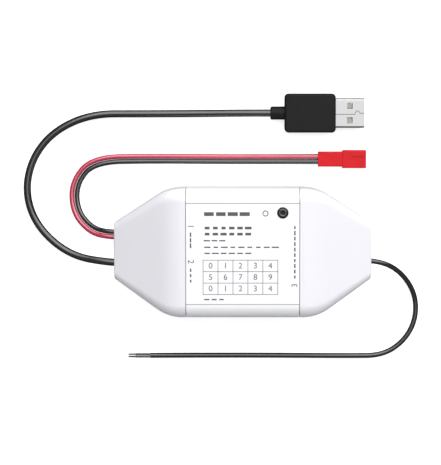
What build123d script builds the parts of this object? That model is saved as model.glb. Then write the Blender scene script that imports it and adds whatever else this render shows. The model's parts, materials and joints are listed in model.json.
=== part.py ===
from build123d import *
import os
from math import asin, atan2, cos, hypot, radians, sin, tan

# Garage door controller: a white housing of one tray and three covers, a board with a radio, a relay and a
# reset button inside, a power cord with a USB-A plug, a two-wire sensor lead and a signal cord.
# Millimetres. The origin is on the surface it stands on, under the middle of the housing; +X is to the
# signal cord's end, +Y to the button's side.

os.makedirs("parts", exist_ok=True)

MIDDLE_LOW = (Align.CENTER, Align.CENTER, Align.MIN)
MIDDLE_HIGH = (Align.CENTER, Align.CENTER, Align.MAX)

# Housing
body_length = 104.8
body_width = 52.0
body_height = 26.0
centre_length = 45.6
end_width = 22.9
end_height = 12.0
wall = 2.0
floor_thickness = 2.0
parting_height = 7.5
seam_gap = 0.3
shoulder_radius = 5.2
end_shoulder_radius = 3.0
least_radius = 0.6
base_edge_radius = 1.2
end_edge_radius = 0.9
end_edge_share = 0.9
side_bend_offset = 1.3
bend_radius = 20.0
cap_bend_share = 0.7
lip_height = 1.2
lip_thickness = 0.8
lip_gap = 0.12
lip_root = 1.0
tongue_reach = 1.4
tongue_thickness = 0.8
tongue_gap = 0.12
overrun = 4.0

# Label panel
label_margin = 5.7
label_thickness = 0.5
label_gap = 0.15

# Button
button_end_inset = 6.8
button_side_inset = 3.8
button_radius = 2.15
button_hole_radius = 2.3
button_rise = 0.35
button_dish_radius = 1.65
button_dish_depth = 0.35
button_flange_radius = 3.1
button_flange_height = 1.0
button_stem_radius = 1.5
button_travel = 0.3
guide_wall = 1.1
guide_clearance = 0.08
guide_depth = 5.0
touch_gap = 0.05

# Status light
light_spacing = 6.9
light_side_inset = 4.0
light_guide_radius = 1.2
light_boss_wall = 1.0
light_boss_depth = 4.0

# Case screws
screw_radius = 1.2
screw_fit = 0.03
screw_length = 12.0
screw_head_radius = 2.3
screw_head_height = 1.7
screw_head_clearance = 0.3
screw_recess = 0.4
drive_width = 2.6
drive_slot = 0.7
drive_depth = 0.9
post_radius = 2.5
post_gap = 0.1
boss_radius = 3.5
end_boss_height = 5.0
end_post_inset = 14.9
end_post_spread = 13.5
left_post_inset = 2.8
front_post_inset = 4.3
back_post_x = 1.0
back_post_edge = 2.7
right_post_inset = 4.3
front_post_edge = 3.2

# Main board
board_thickness = 1.6
board_underside = 4.0
board_side_clearance = 2.88
board_end_clearance = 2.0
board_hole_clearance = 0.25
board_corner_radius = 1.5
lead_below_board = 1.1

# Cords and their outlets
cord_height = parting_height
power_diameter = 3.0
power_outlet_y = -5.2
sensor_diameter = 2.0
red_outlet_y = 5.3
black_outlet_y = 7.38
signal_diameter = 2.1
signal_outlet_y = -4.2
outlet_clearance = 0.25
cord_start_inset = 4.4
bend_share = 0.45

# Cord clamps
clamp_inset = 10.0
clamp_length = 4.0
clamp_thickness = 3.0
clamp_gap = 0.1
clamp_grip = 0.03
clamp_screw_radius = 1.0
clamp_screw_length = 6.5
clamp_head_radius = 1.7
clamp_head_height = 1.2
clamp_margin = 1.9
clamp_screw_reach = 4.2
jacket_end_inset = 12.9

# Terminals and leads
terminal_length = 5.5
terminal_width = 7.0
terminal_height = 4.3
terminal_inset = 0.2
power_pitch = 2.6
signal_pitch = 2.6
power_lead_radius = 0.55
signal_lead_radius = 0.45
tip_radius = 0.4
tip_length = 3.4
tip_bore_radius = 0.65
pin_width = 0.8
pin_gap = 0.1
pin_inset = 1.6
lead_bend_radius = 1.2
lead_run = 1.8

# USB-A plug, axis along +X
plug_y = 55.95
plug_height = 4.0
plug_neck_x = 11.3
neck_radius = 2.7
neck_length = 5.8
overmould_length = 20.8
overmould_width = 15.9
overmould_height = 7.9
overmould_corner = 1.6
overmould_edge = 0.9
shell_width = 12.0
shell_height = 4.5
shell_length = 11.75
shell_wall = 0.3
shell_bite = 3.0
window_width = 2.5
window_length = 2.2
window_pitch = 5.9
window_centre = 5.8
tongue_height = 1.84
tongue_side_gap = 0.1
tongue_tip_gap = 0.9
contact_pitch = 2.5
contact_width = 1.1
contact_height = 0.25
contact_length = 7.4

# Two-way connector on the sensor wires, axis along +X
connector_x = 30.9
connector_y = 37.1
connector_height = 2.6
connector_body_length = 10.0
connector_body_width = 6.1
connector_body_height = 4.4
connector_hood_length = 9.6
connector_hood_width = 7.3
connector_hood_height = 5.1
connector_wall = 0.8
connector_corner = 0.5
connector_back_wall = 1.6
connector_bore_radius = 1.06
latch_width = 2.6
latch_length = 6.0
latch_height = 0.4
contact_blade_width = 0.64
contact_blade_reach = 6.4

# Signal cord's wire ends
end_wire_radius = 0.42
end_wire_length = 6.2
end_tip_radius = 0.3
end_tip_length = 3.0
end_wire_spread = 1.0

# Tact switch
switch_side = 6.0
switch_height = 3.5
switch_plate = 0.4
switch_plunger_radius = 1.7
switch_plunger_rise = 6.0
switch_wall = 0.7
switch_floor = 0.8
switch_bore_clearance = 0.06

# Radio module
radio_x = -9.5
radio_edge = 0.4
radio_length = 13.0
radio_width = 17.0
radio_board_thickness = 0.8
shield_length = 11.6
shield_width = 11.0
shield_height = 2.2
shield_wall = 0.25
shield_margin = 0.7
antenna_turns = 5
antenna_trace = 0.5
antenna_thickness = 0.06

# Supply parts
capacitor_x = -11.0
capacitor_edge = 7.2
capacitor_radius = 3.1
capacitor_height = 8.0
sleeve_thickness = 0.12
capacitor_stand = 0.2
capacitor_pitch = 2.5
capacitor_lead_radius = 0.25
regulator_gap = 4.05
regulator_y = -3.0
regulator_length = 6.5
regulator_width = 3.5
regulator_height = 1.6
regulator_tab = 1.8
regulator_tab_width = 3.0
regulator_tab_height = 0.5
driver_gap = 1.25
driver_spacing = 6.0
driver_length = 2.9
driver_width = 1.3
driver_height = 1.0
diode_edge = 10.2
diode_length = 4.3
diode_width = 2.6
diode_height = 2.1
chip_length = 2.0
chip_width = 1.25
chip_height = 0.6
chip_gap = 1.1
light_chip_length = 3.2
light_chip_width = 2.0
light_chip_height = 1.0
light_chip_gap = 0.3

# Relay
relay_length = 19.0
relay_width = 15.2
relay_headroom = 2.7
relay_overhang = 1.9
relay_terminal_gap = 2.6
relay_post_gap = 1.9
relay_base_height = 2.4
relay_wall = 0.8
relay_gap = 0.1
relay_stand = 0.3
spool_radius = 4.4
spool_flange = 0.7
spool_headroom = 2.9
spool_x = -1.2
coil_radius = 4.0
core_radius = 1.4
core_fit = 0.05
pole_radius = 2.6
pole_height = 0.6
yoke_thickness = 1.1
yoke_width = 8.0
yoke_clearance = 0.2
armature_thickness = 0.9
armature_gap = 0.45
armature_margin = 0.4
armature_close = 3.0
spring_thickness = 0.25
spring_width = 4.0
spring_reach = 4.6
contact_radius = 1.1
contact_depth = 0.4
contact_gap = 0.08
blade_thickness = 0.6
blade_width = 3.4
relay_pin_width = 0.9

# Places worked out from the sizes above
body_half = body_length / 2
seam_reach = centre_length / 2
cap_length = body_half - seam_reach
cap_bend_radius = min(bend_radius, cap_bend_share * cap_length)
board_top = board_underside + board_thickness
board_width = body_width - 2 * (wall + lip_gap + lip_thickness + board_side_clearance)
label_width = body_width - 2 * label_margin
button_x = seam_reach - button_end_inset
button_y = label_width / 2 - button_side_inset
light_x = button_x - light_spacing
light_y = label_width / 2 - light_side_inset
front_post_y = board_width / 2 - front_post_edge
ceiling = body_height - wall
label_floor = body_height - label_thickness
end_post_x = body_half - end_post_inset
board_half = end_post_x - post_radius - board_end_clearance
clamp_x = body_half - clamp_inset
jacket_end = body_half - jacket_end_inset
cord_start = body_half - cord_start_inset
centre_posts = [
    (-(seam_reach - left_post_inset), front_post_y),
    (-(seam_reach - front_post_inset), -front_post_y),
    (seam_reach - right_post_inset, -front_post_y),
    (back_post_x, board_width / 2 - back_post_edge),
]
end_posts = [(side * end_post_x, y) for side in (-1, 1) for y in (-end_post_spread, end_post_spread)]
screw_spots = centre_posts + end_posts

# Steps in which an end cover's bend is drawn, before its sides and top run straight
bend_steps = 6


def bend_slope(run, drop):
    """The slope at which a line, bent to the covers' radius, comes down by drop over run."""
    rise = cap_bend_radius - drop
    return asin(cap_bend_radius / hypot(run, rise)) - atan2(rise, run)


side_bend_start = seam_reach + side_bend_offset
side_slope_full = bend_slope(body_half - side_bend_start, (body_width - end_width) / 2)
top_slope_full = bend_slope(cap_length, body_height - end_height)
bend_end = max(side_bend_start + cap_bend_radius * sin(side_slope_full),
               seam_reach + cap_bend_radius * sin(top_slope_full))


def bend(reach, start, slope_full):
    """How far a line has dropped, and at what slope, after it bends away at start."""
    if reach <= start:
        return 0, 0
    turned = min((reach - start) / cap_bend_radius, sin(slope_full))
    slope = asin(turned)
    drop = cap_bend_radius * (1 - cos(slope)) + (reach - start - cap_bend_radius * turned) * tan(slope)
    return drop, slope


def section_face(place, inset, floor_level):
    """The housing's cross-section at x = place, drawn in by inset, from floor_level up."""
    reach = abs(place)
    side_drop, side_slope = bend(reach, side_bend_start, side_slope_full)
    top_drop, top_slope = bend(reach, seam_reach, top_slope_full)
    half = body_width / 2 - side_drop - inset / cos(side_slope)
    top = body_height - top_drop - inset / cos(top_slope)
    along = max(reach - seam_reach, 0) / cap_length
    radius = max(shoulder_radius + (end_shoulder_radius - shoulder_radius) * along - inset, least_radius)
    foot = base_edge_radius
    with BuildSketch(Plane.YZ.offset(place)) as profile:
        with BuildLine():
            Line((-half + foot, floor_level), (half - foot, floor_level))
            RadiusArc((half - foot, floor_level), (half, floor_level + foot), -foot)
            Line((half, floor_level + foot), (half, top - radius))
            RadiusArc((half, top - radius), (half - radius, top), -radius)
            Line((half - radius, top), (-half + radius, top))
            RadiusArc((-half + radius, top), (-half, top - radius), -radius)
            Line((-half, top - radius), (-half, floor_level + foot))
            RadiusArc((-half, floor_level + foot), (-half + foot, floor_level), -foot)
        make_face()
    return profile.sketch


def body_form(inset, floor_level):
    """The whole housing as one solid, drawn in by inset."""
    with BuildPart() as form:
        extrude(to_extrude=section_face(-seam_reach, inset, floor_level), amount=centre_length)
        for side in (-1, 1):
            bend_step = (bend_end - seam_reach) / bend_steps
            reaches = [seam_reach + count * bend_step for count in range(bend_steps + 1)]
            loft(sections=[section_face(side * reach, inset, floor_level) for reach in reaches])
            straight = (bend_end, body_half - inset)
            loft(sections=[section_face(side * reach, inset, floor_level) for reach in straight], ruled=True)
        if inset == 0:
            edge_radius = min(end_edge_radius, end_edge_share * base_edge_radius * cos(side_slope_full))
            for end_face in (form.faces().sort_by(Axis.X)[0], form.faces().sort_by(Axis.X)[-1]):
                fillet(end_face.edges(), edge_radius)
    return form.part


outer_form = body_form(0, 0)
inner_form = body_form(wall, floor_thickness)
lip_form = body_form(wall + lip_gap, floor_thickness)
rim_form = body_form(wall + lip_gap + lip_thickness, floor_thickness)

# Base tray: floor, low walls, a lip inside the covers, screw bosses and cord saddles
saddle_top = cord_height - clamp_gap
clamp_low = cord_height + clamp_gap
left_clamp_y = (power_outlet_y - clamp_screw_reach, black_outlet_y + clamp_screw_reach - clamp_margin / 2)
right_clamp_y = (signal_outlet_y - clamp_screw_reach, signal_outlet_y + clamp_screw_reach)
clamp_spots = [(-clamp_x, y) for y in left_clamp_y] + [(clamp_x, y) for y in right_clamp_y]
sensor_spread = black_outlet_y - red_outlet_y
cord_lines = [
    (-1, power_outlet_y, power_diameter / 2, 0),
    (-1, red_outlet_y, sensor_diameter / 2, sensor_spread),
    (1, signal_outlet_y, signal_diameter / 2, 0),
]


def cut_cords(clearance):
    """Bores along the cords' straight lines through the housing's ends, each wider by clearance."""
    with BuildPart() as bores:
        for side, y, radius, spread in cord_lines:
            with BuildSketch(Plane.YZ.offset(side * jacket_end)):
                with Locations((y, cord_height), (y + spread, cord_height)):
                    Circle(radius + clearance)
                if spread > 0:
                    with Locations((y + spread / 2, cord_height)):
                        Rectangle(spread, 2 * (radius + clearance))
            extrude(amount=side * (jacket_end_inset + overrun))
    return bores.part


def clamp_block(side, screw_places, low, height):
    """A bar across one end of the housing, from low up, past the outermost clamp screws."""
    with BuildPart() as block:
        with Locations((side * clamp_x, (screw_places[0] + screw_places[1]) / 2, low)):
            Box(clamp_length, screw_places[1] - screw_places[0] + 2 * clamp_margin, height, align=MIDDLE_LOW)
    return block.part


outlet_bores = cut_cords(outlet_clearance)
clamp_bores = cut_cords(clamp_grip)

with BuildPart() as rim_lip:
    add(lip_form)
    with Locations((0, 0, parting_height - lip_root)):
        Box(body_length, body_width, lip_root + lip_height, align=MIDDLE_LOW, mode=Mode.INTERSECT)

with BuildPart() as low_cavity:
    add(inner_form)
    with Locations((0, 0, parting_height - lip_root)):
        Box(body_length, body_width, body_height, align=MIDDLE_LOW, mode=Mode.SUBTRACT)

with BuildPart() as rim_cavity:
    add(rim_form)
    with Locations((0, 0, parting_height - lip_root)):
        Box(body_length, body_width, body_height, align=MIDDLE_LOW, mode=Mode.INTERSECT)

with BuildPart() as base_tray:
    add(outer_form)
    with Locations((0, 0, parting_height)):
        Box(body_length + overrun, body_width + overrun, body_height, align=MIDDLE_LOW, mode=Mode.SUBTRACT)
    add(rim_lip.part)
    add(low_cavity.part, mode=Mode.SUBTRACT)
    add(rim_cavity.part, mode=Mode.SUBTRACT)
    add(outlet_bores, mode=Mode.SUBTRACT)
    with Locations(*[(x, y, 0) for x, y in centre_posts]):
        Cylinder(boss_radius, board_underside, align=MIDDLE_LOW)
    with Locations(*[(x, y, 0) for x, y in end_posts]):
        Cylinder(boss_radius, end_boss_height, align=MIDDLE_LOW)
    add(clamp_block(-1, left_clamp_y, floor_thickness / 2, saddle_top - floor_thickness / 2))
    add(clamp_block(1, right_clamp_y, floor_thickness / 2, saddle_top - floor_thickness / 2))
    add(clamp_bores, mode=Mode.SUBTRACT)
    with Locations(*[(x, y, floor_thickness) for x, y in clamp_spots]):
        Cylinder(clamp_screw_radius + screw_fit, body_height, align=MIDDLE_LOW, mode=Mode.SUBTRACT)
    with Locations(*[(x, y, 0) for x, y in screw_spots]):
        Cylinder(screw_radius + screw_head_clearance, body_height, align=MIDDLE_LOW, mode=Mode.SUBTRACT)
        Cylinder(screw_head_radius + screw_head_clearance, screw_recess + screw_head_height,
                 align=MIDDLE_LOW, mode=Mode.SUBTRACT)
base_tray.part.label = "base_tray"
export_step(base_tray.part, "parts/base_tray.step")

# The covers' shell, with the cord outlets, before it is parted at the seams
with BuildPart() as cover_shell:
    add(outer_form)
    add(inner_form, mode=Mode.SUBTRACT)
    with Locations((0, 0, parting_height)):
        Box(body_length + overrun, body_width + overrun, body_height, align=MIDDLE_HIGH, mode=Mode.SUBTRACT)
    add(outlet_bores, mode=Mode.SUBTRACT)

# Centre cover: label recess, button and light bosses, screw posts, tongues under the end covers
centre_post_low = board_top + post_gap
centre_cover_length = centre_length - seam_gap
guide_radius = button_flange_radius + guide_clearance
tongue_low = parting_height + lip_height + lip_root
with BuildPart() as centre_cover:
    add(cover_shell.part)
    with Locations((0, 0, 0)):
        Box(centre_cover_length, body_width + overrun, body_height + overrun, align=MIDDLE_LOW,
            mode=Mode.INTERSECT)
    for side in (-1, 1):
        tongue_start = side * (centre_cover_length / 2 - tongue_reach)
        extrude(to_extrude=section_face(tongue_start, wall, tongue_low), amount=side * tongue_reach)
        extrude(to_extrude=section_face(tongue_start, wall + tongue_gap, tongue_low),
                amount=side * (2 * tongue_reach))
        extrude(to_extrude=section_face(tongue_start - side * overrun, wall + tongue_gap + tongue_thickness,
                                        parting_height - overrun),
                amount=side * (2 * tongue_reach + 2 * overrun), mode=Mode.SUBTRACT)
    with Locations((button_x, button_y, ceiling - guide_depth)):
        Cylinder(guide_radius + guide_wall, guide_depth + least_radius, align=MIDDLE_LOW)
    with Locations((light_x, light_y, ceiling - light_boss_depth)):
        Cylinder(light_guide_radius + light_boss_wall, light_boss_depth + least_radius, align=MIDDLE_LOW)
    with Locations(*[(x, y, centre_post_low) for x, y in centre_posts]):
        Cylinder(post_radius, ceiling - centre_post_low + least_radius, align=MIDDLE_LOW)
    with Locations((0, 0, label_floor)):
        Box(body_length, label_width + 2 * label_gap, overrun, align=MIDDLE_LOW, mode=Mode.SUBTRACT)
    with Locations((button_x, button_y, 0)):
        Cylinder(button_hole_radius, body_height + overrun, align=MIDDLE_LOW, mode=Mode.SUBTRACT)
    with Locations((button_x, button_y, ceiling)):
        Cylinder(guide_radius, body_height, align=MIDDLE_HIGH, mode=Mode.SUBTRACT)
    with Locations((light_x, light_y, board_top)):
        Cylinder(light_guide_radius + touch_gap, body_height, align=MIDDLE_LOW, mode=Mode.SUBTRACT)
    with Locations(*[(x, y, 0) for x, y in centre_posts]):
        Cylinder(screw_radius + screw_fit, screw_recess + screw_head_height + screw_length + least_radius,
                 align=MIDDLE_LOW, mode=Mode.SUBTRACT)
centre_cover.part.label = "centre_cover"
export_step(centre_cover.part, "parts/centre_cover.step")

# End covers, with two screw posts each that stop at the sloping ceiling
end_post_low = end_boss_height + post_gap
end_starts = seam_reach + seam_gap / 2
with BuildPart() as end_post_stock:
    with Locations(*[(x, y, end_post_low) for x, y in end_posts]):
        Cylinder(post_radius, body_height, align=MIDDLE_LOW)
    add(body_form(wall / 2, floor_thickness), mode=Mode.INTERSECT)
    with Locations(*[(x, y, 0) for x, y in end_posts]):
        Cylinder(screw_radius + screw_fit, screw_recess + screw_head_height + screw_length + least_radius,
                 align=MIDDLE_LOW, mode=Mode.SUBTRACT)

with BuildPart() as left_end_cover:
    add(cover_shell.part)
    add(end_post_stock.part)
    with Locations((-end_starts, 0, 0)):
        Box(body_length, body_width + overrun, body_height + overrun,
            align=(Align.MAX, Align.CENTER, Align.MIN), mode=Mode.INTERSECT)
left_end_cover.part.label = "left_end_cover"
export_step(left_end_cover.part, "parts/left_end_cover.step")

with BuildPart() as right_end_cover:
    add(cover_shell.part)
    add(end_post_stock.part)
    with Locations((end_starts, 0, 0)):
        Box(body_length, body_width + overrun, body_height + overrun,
            align=(Align.MIN, Align.CENTER, Align.MIN), mode=Mode.INTERSECT)
right_end_cover.part.label = "right_end_cover"
export_step(right_end_cover.part, "parts/right_end_cover.step")

# Label panel, a thin plate in the centre cover's recess
with BuildPart() as label_panel:
    with Locations((0, 0, label_floor)):
        Box(centre_cover_length, label_width, label_thickness, align=MIDDLE_LOW)
    with Locations((button_x, button_y, label_floor)):
        Hole(button_hole_radius)
label_panel.part.label = "label_panel"
export_step(label_panel.part, "parts/label_panel.step")

# Reset button: a dished cap, a flange that keeps it in and a stem down to the switch
plunger_top = board_top + switch_height + switch_plunger_rise
flange_top = ceiling - touch_gap
button_top = body_height + button_rise
with BuildPart() as reset_button:
    with Locations((button_x, button_y, flange_top)):
        Cylinder(button_radius, button_top - flange_top, align=MIDDLE_LOW)
    with Locations((button_x, button_y, flange_top)):
        Cylinder(button_flange_radius, button_flange_height, align=MIDDLE_HIGH)
    with Locations((button_x, button_y, plunger_top + touch_gap)):
        Cylinder(button_stem_radius, flange_top - plunger_top - touch_gap, align=MIDDLE_LOW)
    fillet(reset_button.faces().sort_by(Axis.Z)[-1].edges(), button_dish_depth)
    with Locations((button_x, button_y, button_top)):
        Cone(button_dish_radius - button_dish_depth, button_dish_radius, button_dish_depth,
             align=MIDDLE_HIGH, mode=Mode.SUBTRACT)
reset_button.part.label = "reset_button"
export_step(reset_button.part, "parts/reset_button.step")

# Case screws, driven from beneath
with BuildPart() as case_screws:
    with Locations(*[(x, y, screw_recess) for x, y in screw_spots]):
        Cylinder(screw_head_radius, screw_head_height, align=MIDDLE_LOW)
        Cylinder(screw_radius, screw_head_height + screw_length, align=MIDDLE_LOW)
        Box(drive_width, drive_slot, drive_depth, align=MIDDLE_LOW, mode=Mode.SUBTRACT)
        Box(drive_slot, drive_width, drive_depth, align=MIDDLE_LOW, mode=Mode.SUBTRACT)
case_screws.part.label = "case_screws"
export_step(case_screws.part, "parts/case_screws.step")

# Cord clamps, bars screwed down over the cords' saddles
for name, side, screw_places in (("left_cord_clamp", -1, left_clamp_y), ("right_cord_clamp", 1, right_clamp_y)):
    with BuildPart() as clamp:
        add(clamp_block(side, screw_places, clamp_low, clamp_thickness))
        fillet(clamp.edges().filter_by(Axis.Z), least_radius)
        add(clamp_bores, mode=Mode.SUBTRACT)
        with Locations(*[(side * clamp_x, y, clamp_low) for y in screw_places]):
            Cylinder(clamp_screw_radius + screw_fit, clamp_thickness, align=MIDDLE_LOW, mode=Mode.SUBTRACT)
    clamp.part.label = name
    export_step(clamp.part, f"parts/{name}.step")

clamp_top = clamp_low + clamp_thickness
with BuildPart() as clamp_screws:
    with Locations(*[(x, y, clamp_top) for x, y in clamp_spots]):
        Cylinder(clamp_head_radius, clamp_head_height, align=MIDDLE_LOW)
        Cylinder(clamp_screw_radius, clamp_screw_length, align=MIDDLE_HIGH)
    with Locations(*[(x, y, clamp_top + clamp_head_height) for x, y in clamp_spots]):
        Box(drive_width, drive_slot, clamp_head_height / 2, align=MIDDLE_HIGH, mode=Mode.SUBTRACT)
        Box(drive_slot, drive_width, clamp_head_height / 2, align=MIDDLE_HIGH, mode=Mode.SUBTRACT)
clamp_screws.part.label = "clamp_screws"
export_step(clamp_screws.part, "parts/clamp_screws.step")

# Terminals: a side, the y of each wire hole, and the radius of each wire's insulation
power_wires = (power_outlet_y - power_pitch / 2, power_outlet_y + power_pitch / 2)
sensor_wires = (red_outlet_y, black_outlet_y)
signal_wires = (signal_outlet_y - signal_pitch / 2, signal_outlet_y + signal_pitch / 2)
terminal_face = board_half - terminal_inset
pin_x = terminal_face - terminal_length + pin_inset
terminal_rows = [("power_terminal", -1, power_wires), ("sensor_terminal", -1, sensor_wires),
                 ("signal_terminal", 1, signal_wires)]
pin_spots = [(side * pin_x, y) for name, side, wires in terminal_rows for y in wires]
for name, side, wires in terminal_rows:
    with BuildPart() as terminal:
        with Locations((side * (terminal_face - terminal_length / 2), (wires[0] + wires[1]) / 2, board_top)):
            Box(terminal_length, terminal_width, terminal_height, align=MIDDLE_LOW)
        chamfer(terminal.faces().sort_by(Axis.Z)[-1].edges().filter_by(Axis.Y), least_radius)
        with BuildSketch(Plane.YZ.offset(side * (terminal_face - tip_length - pin_gap))):
            with Locations(*[(y, cord_height) for y in wires]):
                Circle(tip_bore_radius)
        extrude(amount=side * (tip_length + overrun), mode=Mode.SUBTRACT)
    terminal.part.label = name
    export_step(terminal.part, f"parts/{name}.step")

with BuildPart() as terminal_pins:
    with Locations(*[(x, y, board_top) for x, y in pin_spots]):
        Box(pin_width, pin_width, board_thickness + lead_below_board, align=MIDDLE_HIGH)
terminal_pins.part.label = "terminal_pins"
export_step(terminal_pins.part, "parts/terminal_pins.step")

with BuildPart() as conductor_tips:
    for name, side, wires in terminal_rows:
        with BuildSketch(Plane.YZ.offset(side * terminal_face)):
            with Locations(*[(y, cord_height) for y in wires]):
                Circle(tip_radius)
        extrude(amount=-side * tip_length)
conductor_tips.part.label = "conductor_tips"
export_step(conductor_tips.part, "parts/conductor_tips.step")

# The cords' inner stretches, held by the clamps
with BuildPart() as power_cord_inner:
    with BuildSketch(Plane.YZ.offset(-cord_start)):
        with Locations((power_outlet_y, cord_height)):
            Circle(power_diameter / 2)
    extrude(amount=cord_start - jacket_end)
power_cord_inner.part.label = "power_cord_inner"
export_step(power_cord_inner.part, "parts/power_cord_inner.step")

with BuildPart() as signal_cord_inner:
    with BuildSketch(Plane.YZ.offset(jacket_end)):
        with Locations((signal_outlet_y, cord_height)):
            Circle(signal_diameter / 2)
    extrude(amount=cord_start - jacket_end)
signal_cord_inner.part.label = "signal_cord_inner"
export_step(signal_cord_inner.part, "parts/signal_cord_inner.step")

for name, y in (("red_wire_inner", red_outlet_y), ("black_wire_inner", black_outlet_y)):
    with BuildPart() as inner_wire:
        with BuildSketch(Plane.YZ.offset(-cord_start)):
            with Locations((y, cord_height)):
                Circle(sensor_diameter / 2)
        extrude(amount=cord_start - terminal_face)
    inner_wire.part.label = name
    export_step(inner_wire.part, f"parts/{name}.step")

# Single leads that fan out from a jacket's end to the terminal's holes
lead_rows = [("power_leads", -1, power_outlet_y, power_wires, power_lead_radius),
             ("signal_leads", 1, signal_outlet_y, signal_wires, signal_lead_radius)]
for name, side, middle, wires, radius in lead_rows:
    with BuildPart() as leads:
        for y in wires:
            start_y = middle + (radius + touch_gap) * (1 if y > middle else -1)
            with BuildLine() as lead_path:
                FilletPolyline(
                    (side * jacket_end, start_y, cord_height),
                    (side * (jacket_end - lead_run), start_y, cord_height),
                    (side * (terminal_face + lead_run), y, cord_height),
                    (side * terminal_face, y, cord_height),
                    radius=lead_bend_radius,
                )
            with BuildSketch(Plane(origin=lead_path.line @ 0, z_dir=lead_path.line % 0)):
                Circle(radius)
            sweep(path=lead_path.line)
    leads.part.label = name
    export_step(leads.part, f"parts/{name}.step")

# Places on the board: the relay stands under the flat top, clear of the signal terminal and the front posts
terminal_back = terminal_face - terminal_length
relay_end = min(seam_reach + relay_overhang, terminal_back - relay_terminal_gap)
relay_x = relay_end - relay_length / 2
relay_y = -front_post_y + post_radius + relay_post_gap + relay_width / 2
driver_x = relay_end - relay_length - driver_gap - driver_width / 2
regulator_x = -(terminal_back - regulator_gap - regulator_length / 2)
radio_y = (board_width - radio_width) / 2 - radio_edge
capacitor_y = capacitor_edge - board_width / 2
diode_y = diode_edge - board_width / 2
driver_y = diode_y + driver_spacing

# Main board, with holes for posts' screws, the terminals' pins and the relay's pins
relay_pins = [
    (relay_x - relay_length / 2 + 1.5 * relay_pin_width, relay_y - spool_radius),
    (relay_x - relay_length / 2 + 1.5 * relay_pin_width, relay_y + spool_radius),
    (relay_x + relay_length / 2 - 1.5 * relay_pin_width, relay_y - spool_radius),
    (relay_x + relay_length / 2 - 1.5 * relay_pin_width, relay_y + spool_radius),
]
capacitor_leads = [(capacitor_x + step * capacitor_pitch, capacitor_y) for step in (-0.5, 0.5)]
with BuildPart() as main_board:
    with Locations((0, 0, board_underside)):
        Box(2 * board_half, board_width, board_thickness, align=MIDDLE_LOW)
    fillet(main_board.edges().filter_by(Axis.Z), board_corner_radius)
    with Locations(*[(x, y, board_underside) for x, y in centre_posts]):
        Cylinder(screw_radius + board_hole_clearance, board_thickness, align=MIDDLE_LOW, mode=Mode.SUBTRACT)
    with Locations(*[(x, y, board_underside) for x, y in pin_spots]):
        Box(pin_width + pin_gap, pin_width + pin_gap, board_thickness, align=MIDDLE_LOW, mode=Mode.SUBTRACT)
    with Locations(*[(x, y, board_underside) for x, y in relay_pins]):
        Box(relay_pin_width + pin_gap, relay_pin_width + pin_gap, board_thickness, align=MIDDLE_LOW,
            mode=Mode.SUBTRACT)
    with Locations(*[(x, y, board_underside) for x, y in capacitor_leads]):
        Cylinder(capacitor_lead_radius + touch_gap, board_thickness, align=MIDDLE_LOW, mode=Mode.SUBTRACT)
main_board.part.label = "main_board"
export_step(main_board.part, "parts/main_board.step")

# Tact switch under the button
switch_bore = switch_plunger_radius + switch_bore_clearance
plunger_low = board_top + switch_floor + 2 * button_travel
with BuildPart() as switch_body:
    with Locations((button_x, button_y, board_top)):
        Box(switch_side, switch_side, switch_height - switch_plate, align=MIDDLE_LOW)
    with Locations((button_x, button_y, board_top + switch_floor)):
        Cylinder(switch_side / 2 - switch_wall, switch_height, align=MIDDLE_LOW, mode=Mode.SUBTRACT)
switch_body.part.label = "switch_body"
export_step(switch_body.part, "parts/switch_body.step")

with BuildPart() as switch_plate_cover:
    with Locations((button_x, button_y, board_top + switch_height)):
        Box(switch_side, switch_side, switch_plate, align=MIDDLE_HIGH)
        Cylinder(switch_bore, switch_height, mode=Mode.SUBTRACT)
switch_plate_cover.part.label = "switch_plate"
export_step(switch_plate_cover.part, "parts/switch_plate.step")

with BuildPart() as switch_plunger:
    with Locations((button_x, button_y, plunger_low)):
        Cylinder(switch_plunger_radius, plunger_top - plunger_low, align=MIDDLE_LOW)
    with Locations((button_x, button_y, plunger_low)):
        Cylinder(switch_side / 2 - switch_wall - switch_bore_clearance,
                 board_top + switch_height - switch_plate - touch_gap - plunger_low, align=MIDDLE_LOW)
switch_plunger.part.label = "switch_plunger"
export_step(switch_plunger.part, "parts/switch_plunger.step")

# Status light and the clear guide that takes it up under the label
with BuildPart() as status_light:
    with Locations((light_x, light_y, board_top)):
        Box(light_chip_length, light_chip_width, light_chip_height, align=MIDDLE_LOW)
    fillet(status_light.faces().sort_by(Axis.Z)[-1].edges(), touch_gap * 2)
status_light.part.label = "status_light"
export_step(status_light.part, "parts/status_light.step")

guide_low = board_top + light_chip_height + light_chip_gap
with BuildPart() as light_guide:
    with Locations((light_x, light_y, guide_low)):
        Cylinder(light_guide_radius, label_floor - guide_low, align=MIDDLE_LOW)
light_guide.part.label = "light_guide"
export_step(light_guide.part, "parts/light_guide.step")

# Radio module: its own small board, a shield can and a printed antenna
radio_top = board_top + radio_board_thickness
shield_y = radio_y - (radio_width - shield_width) / 2 + shield_margin
with BuildPart() as radio_board:
    with Locations((radio_x, radio_y, board_top)):
        Box(radio_length, radio_width, radio_board_thickness, align=MIDDLE_LOW)
radio_board.part.label = "radio_board"
export_step(radio_board.part, "parts/radio_board.step")

with BuildPart() as shield_can:
    with Locations((radio_x, shield_y, radio_top)):
        Box(shield_length, shield_width, shield_height, align=MIDDLE_LOW)
    fillet(shield_can.edges().filter_by(Axis.Z), shield_margin)
    fillet(shield_can.faces().sort_by(Axis.Z)[-1].edges(), shield_wall)
    with Locations((radio_x, shield_y, radio_top)):
        Box(shield_length - 2 * shield_wall, shield_width - 2 * shield_wall, shield_height - shield_wall,
            align=MIDDLE_LOW, mode=Mode.SUBTRACT)
shield_can.part.label = "shield_can"
export_step(shield_can.part, "parts/shield_can.step")

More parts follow.
